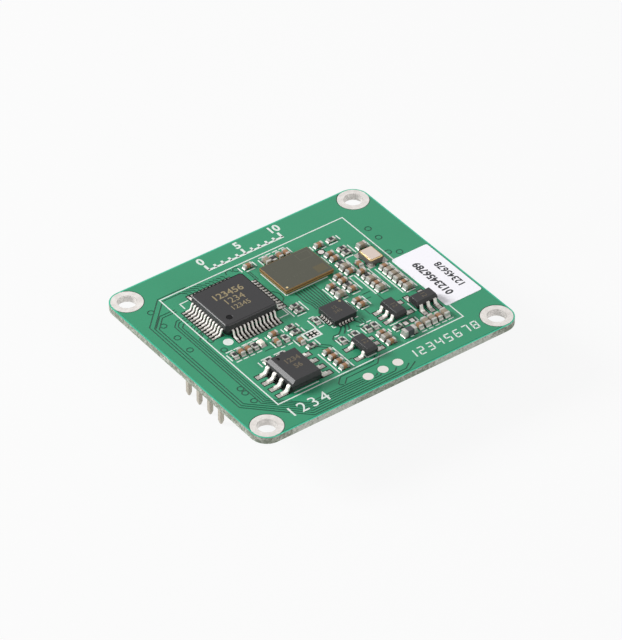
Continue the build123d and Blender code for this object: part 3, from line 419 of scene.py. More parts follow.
class PackageLook(bpy.types.PropertyGroup):
    compound: colour("Mould compound", "Dark body of the moulded chips", (41, 40, 42))
    marking: colour("Marking", "Marks on the controller", (158, 144, 112))
    faint_marking: colour("Faint marking", "Marks on the smaller chips", (104, 95, 80))
    laminate_top: colour("Radar top", "Top of the radar package", (74, 74, 62))
    laminate_side: colour("Radar side", "Sides of the radar package", (162, 122, 72))
    laminate_seam: colour("Radar seam", "Bond line between the radar package's layers", (58, 40, 22))
    laminate_tan: colour("Radar patch", "Lighter patch on the radar package", (88, 81, 58))
    brown_ceramic: colour("Brown ceramic", "Small capacitors", (160, 119, 86))
    beige_ceramic: colour("Beige ceramic", "Large capacitors", (152, 140, 122))
    white_ceramic: colour("White ceramic", "Body of the resistors", (226, 222, 214))
    resistor_film: colour("Resistor film", "Dark film on the resistors", (28, 28, 30))
    ferrite: colour("Ferrite", "Ferrite bead", (70, 70, 74))
    crystal_base: colour("Crystal base", "Ceramic base of the crystal", (92, 88, 84))
    lens: colour("Lens", "Lens of the status light", (250, 240, 228))
    carrier: colour("Carrier", "Carrier of the status light", (240, 236, 228))
    label: colour("Label", "Paper label", (250, 248, 254))
    label_ink: colour("Label ink", "Numbers on the label", (34, 34, 39))
    header_plastic: colour("Header plastic", "Insulators of the pin headers", (34, 34, 36))
    edge_round: length("Edge radius", "Rounding of the moulded edges", 0.055)
    controller_bevel: length("Controller bevel", "Flat bevel on the controller's edges", 0.14)


class MetalLook(bpy.types.PropertyGroup):
    # Tin, lightened as painted light on the leads and darkened as painted shade on the small terminals
    tin: colour("Tin", "Bright tin on leads and terminals", (234, 230, 224))
    land: colour("Land", "Tinned lands", (232, 226, 221))
    land_bright: colour("Bright land", "Bright parts of the lands round the holes", (238, 233, 229))
    wall_dull: colour("Dull wall", "Dull parts of the plating in the holes", (196, 192, 188))
    wall_bright: colour("Bright wall", "Bright parts of the plating in the holes", (232, 228, 224))
    solder: colour("Solder", "Reflowed solder", (186, 182, 176))
    gold: colour("Gold", "Gold seal ring", (224, 200, 148))
    lid: colour("Lid", "Metal lid of the crystal", (220, 204, 194))
    pins: colour("Pins", "Pins of the headers", (190, 182, 168))


class StageLook(bpy.types.PropertyGroup):
    azimuth: angle("Azimuth", "Camera's turn about the object", -36.562)
    elevation: angle("Elevation", "Camera's height above the horizon", 38.978)
    distance: length("Distance", "Camera's distance from its target", 454.39)
    target_x: length("Target X", "Point that the camera looks at", -1.1786)
    target_y: length("Target Y", "Point that the camera looks at", -1.5053)
    lens: FloatProperty(name="Lens", description="Focal length in millimetres", default=234.72)
    floor: colour("Floor", "Pale floor", (250, 250, 250))
    floor_glow: share("Floor white", "White of the floor as the camera sees it", 0.96)
    shadow_share: share("Shadow share", "How much of the shadow the camera sees", 0.06)
    fill_power: FloatProperty(name="Fill power", description="Soft lamp in front", unit="POWER",
                              default=0.75)
    key_power: FloatProperty(name="Key power", description="Soft lamp at the left", unit="POWER",
                             default=2.4)
    world_strength: FloatProperty(name="World strength", description="Even light from all round",
                                  default=0.34)


def new_group(name, inputs, outputs):
    """An empty node group with named sockets: (its tree, its input node, its output node)."""
    tree = bpy.data.node_groups.new(name, "ShaderNodeTree")
    for socket, kind, value in inputs:
        made = tree.interface.new_socket(socket, in_out="INPUT", socket_type="NodeSocket" + kind)
        made.default_value = value
    for socket, kind in outputs:
        tree.interface.new_socket(socket, in_out="OUTPUT", socket_type="NodeSocket" + kind)
    return tree, tree.nodes.new("NodeGroupInput"), tree.nodes.new("NodeGroupOutput")


def feed(tree, target, links):
    """Links sockets to a node's inputs, or sets their values."""
    for socket, source in links.items():
        if hasattr(source, "is_output"):
            tree.links.new(source, target.inputs[socket])
        else:
            target.inputs[socket].default_value = source


def node(tree, kind, links=(), **values):
    """A node with its attributes set, and its inputs linked or given a value."""
    made = tree.nodes.new("ShaderNode" + kind)
    for key, value in values.items():
        setattr(made, key, value)
    feed(tree, made, dict(links))
    return made


def mixed(tree, factor, first, second):
    """The colour between two colours."""
    return node(tree, "Mix", {0: factor, 6: first, 7: second}, data_type="RGBA").outputs[2]


def maths(tree, operation, *values):
    """The result of a sum on numbers."""
    return node(tree, "Math", dict(enumerate(values)), operation=operation).outputs[0]


def vectors(tree, operation, *values):
    """The result of a sum on vectors."""
    made = node(tree, "VectorMath", dict(enumerate(values)), operation=operation)
    return made.outputs["Value" if operation == "LENGTH" else "Vector"]


def ranged(tree, value, start, end, low=0.0, high=1.0):
    """A value mapped from start..end to low..high."""
    return node(tree, "MapRange", {"Value": value, "From Min": start, "From Max": end,
                                   "To Min": low, "To Max": high}).outputs[0]


def noise(tree, place, scale, detail=2.0, roughness=0.5, lacunarity=2.0):
    """Noise between 0 and 1."""
    return node(tree, "TexNoise", {"Vector": place, "Scale": scale, "Detail": detail,
                                   "Roughness": roughness, "Lacunarity": lacunarity}).outputs["Fac"]


def millimetre_place(tree):
    """Object coordinates in millimetres."""
    place = node(tree, "TexCoord").outputs["Object"]
    return vectors(tree, "MULTIPLY", place, [1 / MM] * 3)


def grain_group():
    """Fine grain: tints a colour, varies the roughness and gives a height."""
    tree, inside, outside = new_group(
        "surface_grain",
        [("Colour", "Color", (1, 1, 1, 1)), ("Tint", "Color", (1, 1, 1, 1)), ("Scale", "Float", 4.0),
         ("Tint Amount", "Float", 0.3), ("Roughness", "Float", 0.4), ("Roughness Spread", "Float", 0.1)],
        [("Colour", "Color"), ("Roughness", "Float"), ("Height", "Float")])
    given = inside.outputs
    grain = noise(tree, millimetre_place(tree), given["Scale"], 4.0, 0.6)
    amount = maths(tree, "MULTIPLY", grain, given["Tint Amount"])
    centred = maths(tree, "SUBTRACT", grain, 0.5)
    rough = maths(tree, "MULTIPLY_ADD", centred, given["Roughness Spread"], given["Roughness"])
    feed(tree, outside, {"Colour": mixed(tree, amount, given["Colour"], given["Tint"]),
                         "Roughness": rough, "Height": grain})
    return tree


def shade(value, factor):
    """A colour made darker or lighter."""
    return tuple(min(1.0, channel * factor) for channel in value[:3]) + (1,)


def rim_distance(tree):
    """Distance inside the board's outline, in millimetres."""
    flat = vectors(tree, "MULTIPLY", millimetre_place(tree), (1, 1, 0))
    inner = (HALF_X - CORNER_RADIUS, HALF_Y - CORNER_RADIUS, 0)
    beyond = vectors(tree, "SUBTRACT", vectors(tree, "ABSOLUTE", flat), inner)
    corner = vectors(tree, "MAXIMUM", beyond, (0, 0, 0))
    return maths(tree, "SUBTRACT", CORNER_RADIUS, vectors(tree, "LENGTH", corner))


def gap_colour(tree, look):
    """Mask over bare laminate: dark between the tracks, with a painted highlight along the board's rim."""
    blend = ranged(tree, rim_distance(tree), *RIM_FADE)
    return mixed(tree, blend, tuple(look.rim), tuple(look.gap))


def mask_colour(tree, look):
    """Mask over copper: a green with a slow change of tone."""
    slow = noise(tree, millimetre_place(tree), 0.12)
    return mixed(tree, slow, shade(look.mask, 0.94), shade(look.mask, 1.05))


def plating_colour(tree, look):
    """Tin round the mounting holes, duller and uneven down the barrel's wall."""
    place = millimetre_place(tree)
    offset = vectors(tree, "SUBTRACT", vectors(tree, "ABSOLUTE", place), (HOLE_X, HOLE_Y, 0))
    radius = vectors(tree, "LENGTH", vectors(tree, "MULTIPLY", offset, (1, 1, 0)))
    dull = ranged(tree, noise(tree, place, 1.3, 5.0, 0.7), 0.4, 0.65)
    wall = mixed(tree, dull, tuple(look.wall_dull), tuple(look.wall_bright))
    land = mixed(tree, dull, shade(look.land, 0.86), tuple(look.land_bright))
    return mixed(tree, ranged(tree, radius, *BARREL_FADE), land, wall)


def edge_colour(tree, look):
    """The cut edge: pitted resin, with torn glass fibre where the boards were broken apart."""
    place = millimetre_place(tree)
    across = node(tree, "SeparateXYZ", {0: vectors(tree, "ABSOLUTE", place)}).outputs["X"]
    torn = maths(tree, "MULTIPLY", ranged(tree, across, *TORN_START), ranged(tree, across, *TORN_END))
    push = maths(tree, "MULTIPLY_ADD", torn, 0.12, noise(tree, place, 2.2, 6.0, 0.8))
    deep = ranged(tree, noise(tree, place, 3.6, 4.0, 0.7, 2.3), 0.5, 0.36)
    resin = mixed(tree, deep, tuple(look.laminate), shade(look.laminate, 0.55))
    return mixed(tree, ranged(tree, push, 0.47, 0.62), resin, tuple(look.fibre))


PATTERNS = {"solder_mask": mask_colour, "mask_over_laminate": gap_colour,
            "hole_plating": plating_colour, "laminate_edge": edge_colour}


def finish(name):
    """A finish whose colour, roughness and relief vary with a fine grain, made when first used."""
    found = bpy.data.materials.get(name + FINISH)
    if found:
        return found
    kind = FINISHES[name]
    look = getattr(bpy.context.scene, kind.look)
    base = shade(getattr(look, kind.colour), kind.lightness)
    material = bpy.data.materials.new(name + FINISH)
    material.use_nodes = True
    tree = material.node_tree
    shader = tree.nodes["Principled BSDF"]
    group = tree.nodes.new("ShaderNodeGroup")
    group.node_tree = bpy.data.node_groups.get("surface_grain") or grain_group()
    feed(tree, group, {"Colour": PATTERNS[name](tree, look) if name in PATTERNS else base,
                       "Tint": shade(base, kind.tint), "Scale": kind.scale, "Tint Amount": kind.amount,
                       "Roughness": kind.roughness, "Roughness Spread": kind.spread})
    relief = node(tree, "Bump", {"Height": group.outputs["Height"], "Distance": kind.bump * MM})
    feed(tree, shader, {"Base Color": group.outputs["Colour"], "Roughness": group.outputs["Roughness"],
                        "Normal": relief.outputs["Normal"], "Metallic": kind.metallic,
                        "Specular IOR Level": kind.specular})
    return material


def make_piece(name, bm, finish_name, replaced=()):
    """Turns a bmesh in millimetres into a piece that rides on the board, smooth between its sharp edges."""
    for face in bm.faces:
        face.smooth = True
    for edge in bm.edges:
        flat = any(face.calc_area() > FLAT_AREA for face in edge.link_faces)
        edge.smooth = edge.is_manifold and edge.calc_face_angle() < (FLAT_ANGLE if flat else SHARP_ANGLE)
    bm.transform(Matrix.Scale(MM, 4))
    piece = held_object(name, bm)
    piece.data.materials.append(finish(finish_name))
    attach(piece, "root")
    if replaced:
        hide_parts(*replaced)


def dress(finish_name, *names):
    """Gives CAD nodes that stay as they are one of the finishes."""
    for name in names:
        NODES[name].data.materials.clear()
        NODES[name].data.materials.append(finish(finish_name))


def box_of(name):
    """A CAD node's lowest and highest corner, in millimetres."""
    return [Vector(corner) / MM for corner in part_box(name)]


def node_bmesh(*names):
    """Merged copies of CAD nodes' meshes, in millimetres."""
    bm = bmesh.new()
    for name in names:
        bm.from_mesh(NODES[name].data)
    bm.transform(Matrix.Scale(1 / MM, 4))
    bmesh.ops.remove_doubles(bm, verts=bm.verts, dist=1e-4)
    return bm


def solids_of(*names):
    """The lowest and highest corner of each solid in CAD nodes, in millimetres."""
    bm = node_bmesh(*names)
    seen = set()
    boxes = []
    for start in bm.verts:
        if start in seen:
            continue
        group = [start]
        seen.add(start)
        for vert in group:
            for edge in vert.link_edges:
                other = edge.other_vert(vert)
                if other not in seen:
                    seen.add(other)
                    group.append(other)
        places = [vert.co for vert in group]
        boxes.append(tuple(Vector(pick(co[k] for co in places) for k in range(3)) for pick in (min, max)))
    bm.free()
    return boxes


def bevel(bm, geom, width, segments=1, affect="EDGES", clamp=True):
    """Rounds edges or corners by a width."""
    bmesh.ops.bevel(bm, geom=geom, offset=width, offset_type="OFFSET", segments=segments,
                    profile=0.5, affect=affect, clamp_overlap=clamp, material=-1)


def moved(bm, extrusion, way):
    """Moves the corners that an extrusion made, and returns them."""
    verts = [item for item in extrusion["geom"] if isinstance(item, bmesh.types.BMVert)]
    bmesh.ops.translate(bm, verts=verts, vec=way)
    return verts


def softened(width, segments, name):
    """A copy of a CAD node with each sharp edge rounded."""
    bm = node_bmesh(name)
    bmesh.ops.dissolve_limit(bm, angle_limit=COPLANAR_ANGLE, verts=bm.verts, edges=bm.edges,
                             use_dissolve_boundaries=False)
    sharp = [edge for edge in bm.edges if edge.is_manifold and edge.calc_face_angle() > ROUNDED_ANGLE]
    bevel(bm, sharp, width, segments)
    return bm


def refine(node_name, finish_name, width, segments, piece=None):
    """Replaces a CAD node by its rounded and finished copy."""
    make_piece(piece or "finished_" + node_name, softened(width, segments, node_name), finish_name,
               [node_name])


def add_box(bm, low, high, round_by=0.0, segments=1):
    """Adds a box between two corners, with rounded edges if asked."""
    low, high = Vector(low), Vector(high)
    made = bmesh.ops.create_cube(bm, size=1)["verts"]
    bmesh.ops.scale(bm, verts=made, vec=high - low)
    bmesh.ops.translate(bm, verts=made, vec=(low + high) / 2)
    if round_by:
        bevel(bm, list({edge for vert in made for edge in vert.link_edges}), round_by, segments)


def add_disc(bm, x, y, radius, low, high, segments=20):
    """Adds a flat round plate between two heights."""
    made = bmesh.ops.create_cone(bm, cap_ends=True, segments=segments, radius1=radius, radius2=radius,
                                 depth=high - low)["verts"]
    bmesh.ops.translate(bm, verts=made, vec=(x, y, (low + high) / 2))


def board_plate(inset, radius, low, high):
    """A rounded plate with the board's outline, drawn in by an inset."""
    bm = bmesh.new()
    half_x, half_y = HALF_X - inset, HALF_Y - inset
    verts = [bm.verts.new((sx * half_x, sy * half_y, low))
             for sx, sy in ((1, 1), (-1, 1), (-1, -1), (1, -1))]
    face = bm.faces.new(verts)
    lifted = moved(bm, bmesh.ops.extrude_face_region(bm, geom=[face]), (0, 0, high - low))
    bevel(bm, [edge for vert in verts for edge in vert.link_edges if edge.other_vert(vert) in lifted],
          radius, 10)
    bmesh.ops.recalc_face_normals(bm, faces=bm.faces)
    return bm


def held_object(name, bm):
    """An object made from a bmesh, in the scene."""
    mesh = bpy.data.meshes.new(name)
    bm.to_mesh(mesh)
    bm.free()
    made = bpy.data.objects.new(name, mesh)
    bpy.context.scene.collection.objects.link(made)
    return made


def finished_bmesh(helper, *others):
    """The helper's mesh with its modifiers applied; the helpers are removed."""
    shaped = helper.evaluated_get(bpy.context.evaluated_depsgraph_get())
    bm = bmesh.new()
    bm.from_mesh(shaped.to_mesh())
    shaped.to_mesh_clear()
    for used in (helper, *others):
        mesh = used.data
        bpy.data.objects.remove(used)
        bpy.data.meshes.remove(mesh)
    return bm


def strips(lines, width, low, high):
    """Flat strips of one width along runs of points."""
    bm = bmesh.new()
    for line in lines:
        closed = line[0] == line[-1]
        verts = [bm.verts.new((x, y, low)) for x, y in (line[:-1] if closed else line)]
        ends = verts[1:] + verts[:1] if closed else verts[1:]
        edges = [bm.edges.new(pair) for pair in zip(verts, ends)]
        moved(bm, bmesh.ops.extrude_edge_only(bm, edges=edges), (0, 0, high - low))
    helper = held_object("strip_helper", bm)
    thick = helper.modifiers.new("width", "SOLIDIFY")
    thick.thickness = width
    thick.offset = 0
    thick.use_even_offset = True
    made = finished_bmesh(helper)
    bmesh.ops.recalc_face_normals(made, faces=made.faces)
    return made


def add_digits(bm, text, place, height, low, high, turn=0.0, weight=0.0, below=False):
    """Adds plain digits centred on a place, as thin raised print; below ones read from underneath."""
    curve = bpy.data.curves.new("digit_helper", "FONT")
    curve.body = text
    curve.size = height / DIGIT_SHARE
    curve.extrude = (high - low) / 2
    curve.offset = weight
    curve.resolution_u = 3
    curve.align_x = "CENTER"
    curve.align_y = "CENTER"
    helper = bpy.data.objects.new("digit_helper", curve)
    bpy.context.scene.collection.objects.link(helper)
    shaped = helper.evaluated_get(bpy.context.evaluated_depsgraph_get())
    mesh = bpy.data.meshes.new_from_object(shaped)
    if below:
        mesh.transform(Matrix.Rotation(math.pi, 4, "Y"))
    mesh.transform(Matrix.Translation((*place, (low + high) / 2)) @ Matrix.Rotation(turn, 4, "Z"))
    bm.from_mesh(mesh)
    bpy.data.objects.remove(helper)
    bpy.data.curves.remove(curve)
    bpy.data.meshes.remove(mesh)
    bmesh.ops.remove_doubles(bm, verts=bm.verts, dist=1e-5)
    return bm


def segment_digit(digit, x, y):
    """Lines of one leaning seven-segment digit with its foot at x, y."""
    return [[(x + u * SEGMENT_WIDTH + SEGMENT_LEAN * v * SEGMENT_HEIGHT, y + v * SEGMENT_HEIGHT)
             for u, v in SEGMENT_ENDS[segment]] for segment in SEGMENTS_OF[digit]]


def joined(first, *others):
    """Adds the other bmeshes to the first."""
    for other in others:
        mesh = bpy.data.meshes.new("join_helper")
        other.to_mesh(mesh)
        other.free()
        first.from_mesh(mesh)
        bpy.data.meshes.remove(mesh)
    return first


def cut_away(body, cutter):
    """The body without the cutter."""
    helper = held_object("body_helper", body)
    tool = held_object("cutter_helper", cutter)
    cut = helper.modifiers.new("cut", "BOOLEAN")
    cut.operation = "DIFFERENCE"
    cut.object = tool
    cut.solver = "EXACT"
    cut.use_self = True
    return finished_bmesh(helper, tool)


def land_boxes():
    """Footprints of everything that is soldered to the top of the board, and of painted shade: the
    controller's whole leads and a band along the memory's leads.
    """
    # The controller's whole leads are listed here, so that the shade under and between them is painted as
    # dark bare laminate
    boxes = solids_of("package_lands", "crystal_terminals", "controller_leads", *CHIP_TERMINAL_NODES)
    # Painted shade: a dark band along each row of the memory's leads, where the body's shadow falls
    leads = solids_of("memory_leads")
    body_low, body_high = box_of("memory_body")
    for side in (-1, 1):
        row = [box for box in leads if side * (box[0] + box[1]).x > side * (body_low + body_high).x]
        inner = max(box[1].x for box in row) if side < 0 else min(box[0].x for box in row)
        start, end = sorted((inner - side * MEMORY_SHADE_BAND[0], inner + side * MEMORY_SHADE_BAND[1]))
        boxes.append((Vector((start, min(box[0].y for box in row), 0)),
                      Vector((end, max(box[1].y for box in row), 0))))
    return boxes + [box for box in solids_of("test_lands") if (box[1] - box[0]).x < LARGE_LAND]


def large_lands():
    """Centre and radius of each round test land."""
    boxes = [box for box in solids_of("test_lands") if (box[1] - box[0]).x >= LARGE_LAND]
    return [(((low + high) / 2).to_2d(), (high - low).x / 2) for low, high in boxes]


def ring_line(x, y, radius, sides=14):
    """A closed run of points round a centre."""
    turns = [2 * math.pi * i / sides for i in range(sides)]
    points = [(x + radius * math.cos(turn), y + radius * math.sin(turn)) for turn in turns]
    return points + points[:1]


def add_footprints(bm, boxes, margin, low, high, round_by=0.0, segments=1):
    """Adds a box over each footprint, with a margin round it."""
    for a, b in boxes:
        add_box(bm, (a.x - margin, a.y - margin, low), (b.x + margin, b.y + margin, high),
                round_by, segments)
    return bm


def mask_film(level, low, high):
    """The mask's thin base film on one side of the board, open at the holes."""
    holes = bmesh.new()
    for x, y in HOLES:
        add_disc(holes, x, y, HOLE_LAND_RADIUS - HOLE_LAND_LAP, level - CUT_REACH, level + CUT_REACH,
                 ROUND_SIDES)
    return cut_away(board_plate(0, CORNER_RADIUS, low, high), holes)


def mask_pour(look, level, low, high, lines, boxes, wide=(), rounds=()):
    """The mask over the copper on one side: cut by gaps between tracks, rings, holes and lands."""
    bottom, top = level - CUT_REACH, level + CUT_REACH
    width = look.gap_width / MM
    rings = [ring_line(x, y, RING_RADIUS) for x, y in RINGS]
    cutter = strips(lines + rings, width, bottom, top)
    if wide:
        joined(cutter, strips(wide, width * WIDE_GAP_SHARE, bottom, top))
    extra = bmesh.new()
    for x, y in HOLES:
        add_disc(extra, x, y, HOLE_LAND_RADIUS + HOLE_LAND_GAP, bottom, top, ROUND_SIDES)
    add_footprints(extra, boxes, look.land_gap / MM, bottom, top)
    for middle, radius in rounds:
        add_disc(extra, *middle, radius, bottom, top, TEST_LAND_SIDES)
    return cut_away(board_plate(POUR_INSET, POUR_CORNER, low, high), joined(cutter, extra))


def test_land_rims(look):
    """Rings of mask that lap over the edge of the round test lands."""
    rims, openings = bmesh.new(), bmesh.new()
    for middle, radius in large_lands():
        add_disc(rims, *middle, radius + TEST_LAND_LAP, TOP + MASK_BASE, TOP + MASK_TOP, TEST_LAND_SIDES)
        add_disc(openings, *middle, radius * look.test_land_opening, TOP - CUT_REACH, TOP + CUT_REACH,
                 TEST_LAND_SIDES)
    return cut_away(rims, openings)


class SENSOR_OT_board_finish(bpy.types.Operator):
    """Put the solder mask, copper tracks and cut edge on the board"""
    bl_idname = "sensor.board_finish"
    bl_label = "Board finish"

    def execute(self, context):
        look = context.scene.board_look
        dress("laminate_edge", "circuit_board")
        make_piece("mask_base", mask_film(TOP, TOP, TOP + MASK_BASE), "mask_over_laminate")
        pour = mask_pour(look, TOP, TOP + MASK_BASE / 2, TOP + MASK_TOP, GAP_LINES + fan_out(),
                         land_boxes(), wide_gaps(), large_lands())
        make_piece("mask_on_copper", joined(pour, test_land_rims(look)), "solder_mask")
        # Bare laminate round each land, and painted shade under the controller's and memory's leads
        bare = add_footprints(bmesh.new(), land_boxes(), look.land_gap / MM, TOP,
                              TOP + MASK_BASE + BARE_AND_SHADE_RISE)
        make_piece("bare_land_gaps", bare, "bare_laminate")
        return {"FINISHED"}


class SENSOR_OT_printed_lines(bpy.types.Operator):
    """Print the white lines round the parts"""
    bl_idname = "sensor.printed_lines"
    bl_label = "Printed lines"

    def execute(self, context):
        low, high = TOP + MASK_BASE, TOP + SILK_TOP
        width = context.scene.board_look.line_width / MM
        lines = strips([FRAME_LINE] + PRINTED_LINES, width, low, high)
        array = strips([ARRAY_FRAME], ARRAY_LINE, low, high)
        marks = bmesh.new()
        add_disc(marks, *PIN_ONE_DOT, low, high, 32)
        add_box(marks, (*LED_BAR[0], low), (*LED_BAR[1], high))
        make_piece("printed_lines", joined(lines, array, marks), "print_white")
        return {"FINISHED"}


class SENSOR_OT_printed_numbers(bpy.types.Operator):
    """Print a plain millimetre scale, pin numbers and segment digits"""
    bl_idname = "sensor.printed_numbers"
    bl_label = "Printed numbers"

    def execute(self, context):
        low, high = TOP + MASK_BASE, TOP + SILK_TOP
        end = SCALE_HALF + SCALE_LINE / 2
        bold = [[(-end, SCALE_FOOT), (end, SCALE_FOOT)]]
        bold += [[(x, SCALE_FOOT), (x, SCALE_SHORT if x % SCALE_HALF else SCALE_LONG)]
                 for x in range(-SCALE_HALF, SCALE_HALF + 1)]
        numbers = bmesh.new()
        for x in (-SCALE_HALF, 0, SCALE_HALF):
            add_digits(numbers, str(x + SCALE_HALF), (x, SCALE_DIGIT_Y), SCALE_DIGIT_HEIGHT, low, high,
                       weight=SCALE_DIGIT_WEIGHT)
        x, y = PIN_DIGIT_START
        for i in range(4):
            add_digits(numbers, str(i + 1), (x + PIN_DIGIT_STEP * i, y), PIN_DIGIT_HEIGHT, low, high)
        x, y = SEGMENT_START
        digits = [line for i in range(8) for line in segment_digit(str(i + 1), x + SEGMENT_STEP * i, y)]
        width = context.scene.board_look.line_width / MM * SEGMENT_LINE_SHARE
        printed = joined(strips(bold, SCALE_LINE, low, high), numbers, strips(digits, width, low, high))
        make_piece("printed_numbers", printed, "print_white")
        return {"FINISHED"}


def add_fillet(bm, start, outward, width, height):
    """Adds a solder fillet that runs down from a terminal's end face to its land."""
    side = Vector((-outward[1], outward[0], 0))
    reach = FILLET_REACH
    steps = [(-0.06, 0), (reach, 0), (reach, 0.03), (0.5 * reach, 0.08 * height + 0.03),
             (0.2 * reach, 0.24 * height + 0.02), (0, 0.5 * height), (-0.06, 0.52 * height)]
    base = Vector((start[0], start[1], TOP)) - side * width / 2
    face = bm.faces.new([bm.verts.new(base + outward * run + Vector((0, 0, rise))) for run, rise in steps])
    moved(bm, bmesh.ops.extrude_face_region(bm, geom=[face]), side * width)


def chip_fillets():
    """Solder at both ends of every chip part."""
    bm = bmesh.new()
    bodies = [(low + high) / 2 for low, high in solids_of(*CHIP_BODY_NODES)]
    for low, high in solids_of(*CHIP_TERMINAL_NODES):
        middle = (low + high) / 2
        size = high - low
        nearest = min(bodies, key=lambda place: (place - middle).to_2d().length)
        run = (middle - nearest).to_2d()
        axis = 0 if abs(run.x) > abs(run.y) else 1
        outward = Vector((0, 0, 0))
        outward[axis] = math.copysign(1, run[axis])
        add_fillet(bm, middle + outward * size[axis] / 2, outward, size[1 - axis] + FILLET_LAP, size.z)
    bmesh.ops.recalc_face_normals(bm, faces=bm.faces)
    return bm


class SENSOR_OT_lands(bpy.types.Operator):
    """Finish the bare lands and the plated holes"""
    bl_idname = "sensor.lands"
    bl_label = "Lands"

    def execute(self, context):
        dress("hole_plating", "mounting_hole_plating")
        dress("land_tin", "test_lands", "package_lands", "crystal_terminals")
        return {"FINISHED"}


class SENSOR_OT_solder(bpy.types.Operator):
    """Add the solder at chip parts and a low pillow of it on each land under a lead"""
    bl_idname = "sensor.solder"
    bl_label = "Solder joints"

    def execute(self, context):
        make_piece("chip_solder", chip_fillets(), "reflowed_solder")
        pillows = bmesh.new()
        for low, high in solids_of("package_lands"):
            add_footprints(pillows, [(low, high)], -PILLOW_INSET, TOP + PILLOW_INSET, high.z + PILLOW_RISE,
                           PILLOW_ROUND, 2)
        make_piece("lead_solder", pillows, "reflowed_solder")
        return {"FINISHED"}


def formed_lead(reach, height, width, shape):
    """One gull-wing lead with smooth bends, from the body's side at the origin out along +X."""
    bm = bmesh.new()
    run = [(0, height), (shape.shoulder, height), (reach - shape.foot, shape.thickness),
           (reach, shape.thickness)]
    verts = [bm.verts.new((x, -width / 2, z)) for x, z in run]
    for pair in zip(verts, verts[1:]):
        bm.edges.new(pair)
    bevel(bm, verts[1:3], shape.bend, 5, "VERTICES", False)
    moved(bm, bmesh.ops.extrude_edge_only(bm, edges=bm.edges[:]), (0, width, 0))
    bmesh.ops.recalc_face_normals(bm, faces=bm.faces)
    if sum(face.normal.z for face in bm.faces) < 0:
        bmesh.ops.reverse_faces(bm, faces=bm.faces)
    bmesh.ops.solidify(bm, geom=bm.faces[:], thickness=shape.thickness)
    bevel(bm, [edge for edge in bm.edges if edge.calc_face_angle() > LEAD_CORNER_ANGLE], LEAD_EDGE, 2)
    return bm


def placed_leads(package):
    """All the leads of a package, each in the place of its CAD lead."""
    body_low, body_high = box_of(package + "_body")
    middle = (body_low + body_high) / 2
    half = (body_high - body_low) / 2
    made = bmesh.new()
    for low, high in solids_of(package + "_leads"):
        centre = (low + high) / 2
        out = centre - middle
        size = high - low
        axis = 0 if abs(out.x) / half.x > abs(out.y) / half.y else 1
        root = Vector((centre.x, centre.y, low.z))
        root[axis] = low[axis] if out[axis] > 0 else high[axis]
        turn = math.atan2(0, out.x) if axis == 0 else math.atan2(out.y, 0)
        lead = formed_lead(size[axis], size.z, size[1 - axis], LEAD_SHAPES[package])
        lead.transform(Matrix.Translation(root) @ Matrix.Rotation(turn, 4, "Z"))
        joined(made, lead)
    return made


class SENSOR_OT_leads(bpy.types.Operator):
    """Form the leads with smooth bends and give them tin lightened as painted light"""
    bl_idname = "sensor.leads"
    bl_label = "Leads"

    def execute(self, context):
        for package in LEAD_SHAPES:
            name = package + "_leads"
            make_piece("formed_" + name, placed_leads(package), "lead_tin", [name])
        # Painted light on the power chip's terminals, and painted shade on its pad and the radar's balls
        dress("lead_tin", "power_chip_terminals")
        dress("bright_tin", "power_chip_ground_pad", "radar_solder_balls")
        return {"FINISHED"}


def bevelled_top(width, name):
    """A copy of a CAD body with a flat bevel round the outline of its top."""
    bm = softened(FINE_ROUND, 1, name)
    top = max(vert.co.z for vert in bm.verts)
    low, high = box_of(name)
    inner = (high - low).x / 2 - 3 * width
    middle = (low + high) / 2
    outer = {vert for vert in bm.verts if vert.co.z > top - TOP_DEPTH
             and max(abs(vert.co.x - middle.x), abs(vert.co.y - middle.y)) > inner}
    rim = [edge for edge in bm.edges if outer.issuperset(edge.verts)
           and edge.calc_face_angle(0) > OUTLINE_ANGLE]
    bevel(bm, rim, width, clamp=False)
    return bm


def lowered(bm, drop):
    """The shape with its flat top a hair lower, so that marks on it stay within its height."""
    top = max(vert.co.z for vert in bm.verts)
    for vert in bm.verts:
        if vert.co.z > top - drop:
            vert.co.z -= drop
    return bm


class SENSOR_OT_moulded_bodies(bpy.types.Operator):
    """Round and finish the moulded chip bodies"""
    bl_idname = "sensor.moulded_bodies"
    bl_label = "Moulded bodies"

    def execute(self, context):
        look = context.scene.package_look
        for package in ("controller", "memory", "power_chip", *REGULATORS):
            name = package + "_body"
            body = (bevelled_top(look.controller_bevel / MM, name) if package == "controller"
                    else softened(look.edge_round / MM, 3, name))
            make_piece("moulded_" + name, lowered(body, MARK_RISE), "mould_compound",
                       [name])
        # Painted shade: dark discs at the floor of the pin-one recesses
        recess_shades = bmesh.new()
        for name, ends, way, radius in PIN_ONE_RECESSES:
            box = box_of(name)
            top = box[1].z
            add_disc(recess_shades, box[ends[0]].x + way[0], box[ends[1]].y + way[1], radius,
                     top - RECESS_UNDER, top - RECESS_DEPTH, 28)
        make_piece("pin_one_recesses", recess_shades, "recess_floor")
        return {"FINISHED"}


def marked(bm, marks):
    """Adds the digits of marks in the hollow on top of their chips."""
    for mark in marks:
        low, high = box_of(mark.node)
        middle = (low + high) / 2
        add_digits(bm, mark.text, (middle.x + mark.place[0], middle.y + mark.place[1]), mark.height,
                   high.z - 2 * MARK_RISE, high.z, mark.turn, mark.weight)
    return bm


class SENSOR_OT_package_marks(bpy.types.Operator):
    """Print plain numbers on the chips"""
    bl_idname = "sensor.package_marks"
    bl_label = "Package marks"

    def execute(self, context):
        bold = marked(bmesh.new(), BOLD_MARKS)
        high = box_of("power_chip_body")[1]
        inwards, radius = POWER_DOT
        add_disc(bold, high.x - inwards, high.y - inwards, radius, high.z - 2 * MARK_RISE, high.z, 16)
        make_piece("package_marks", bold, "package_marking")
        make_piece("faint_package_marks", marked(bmesh.new(), FAINT_MARKS), "faint_marking")
        return {"FINISHED"}


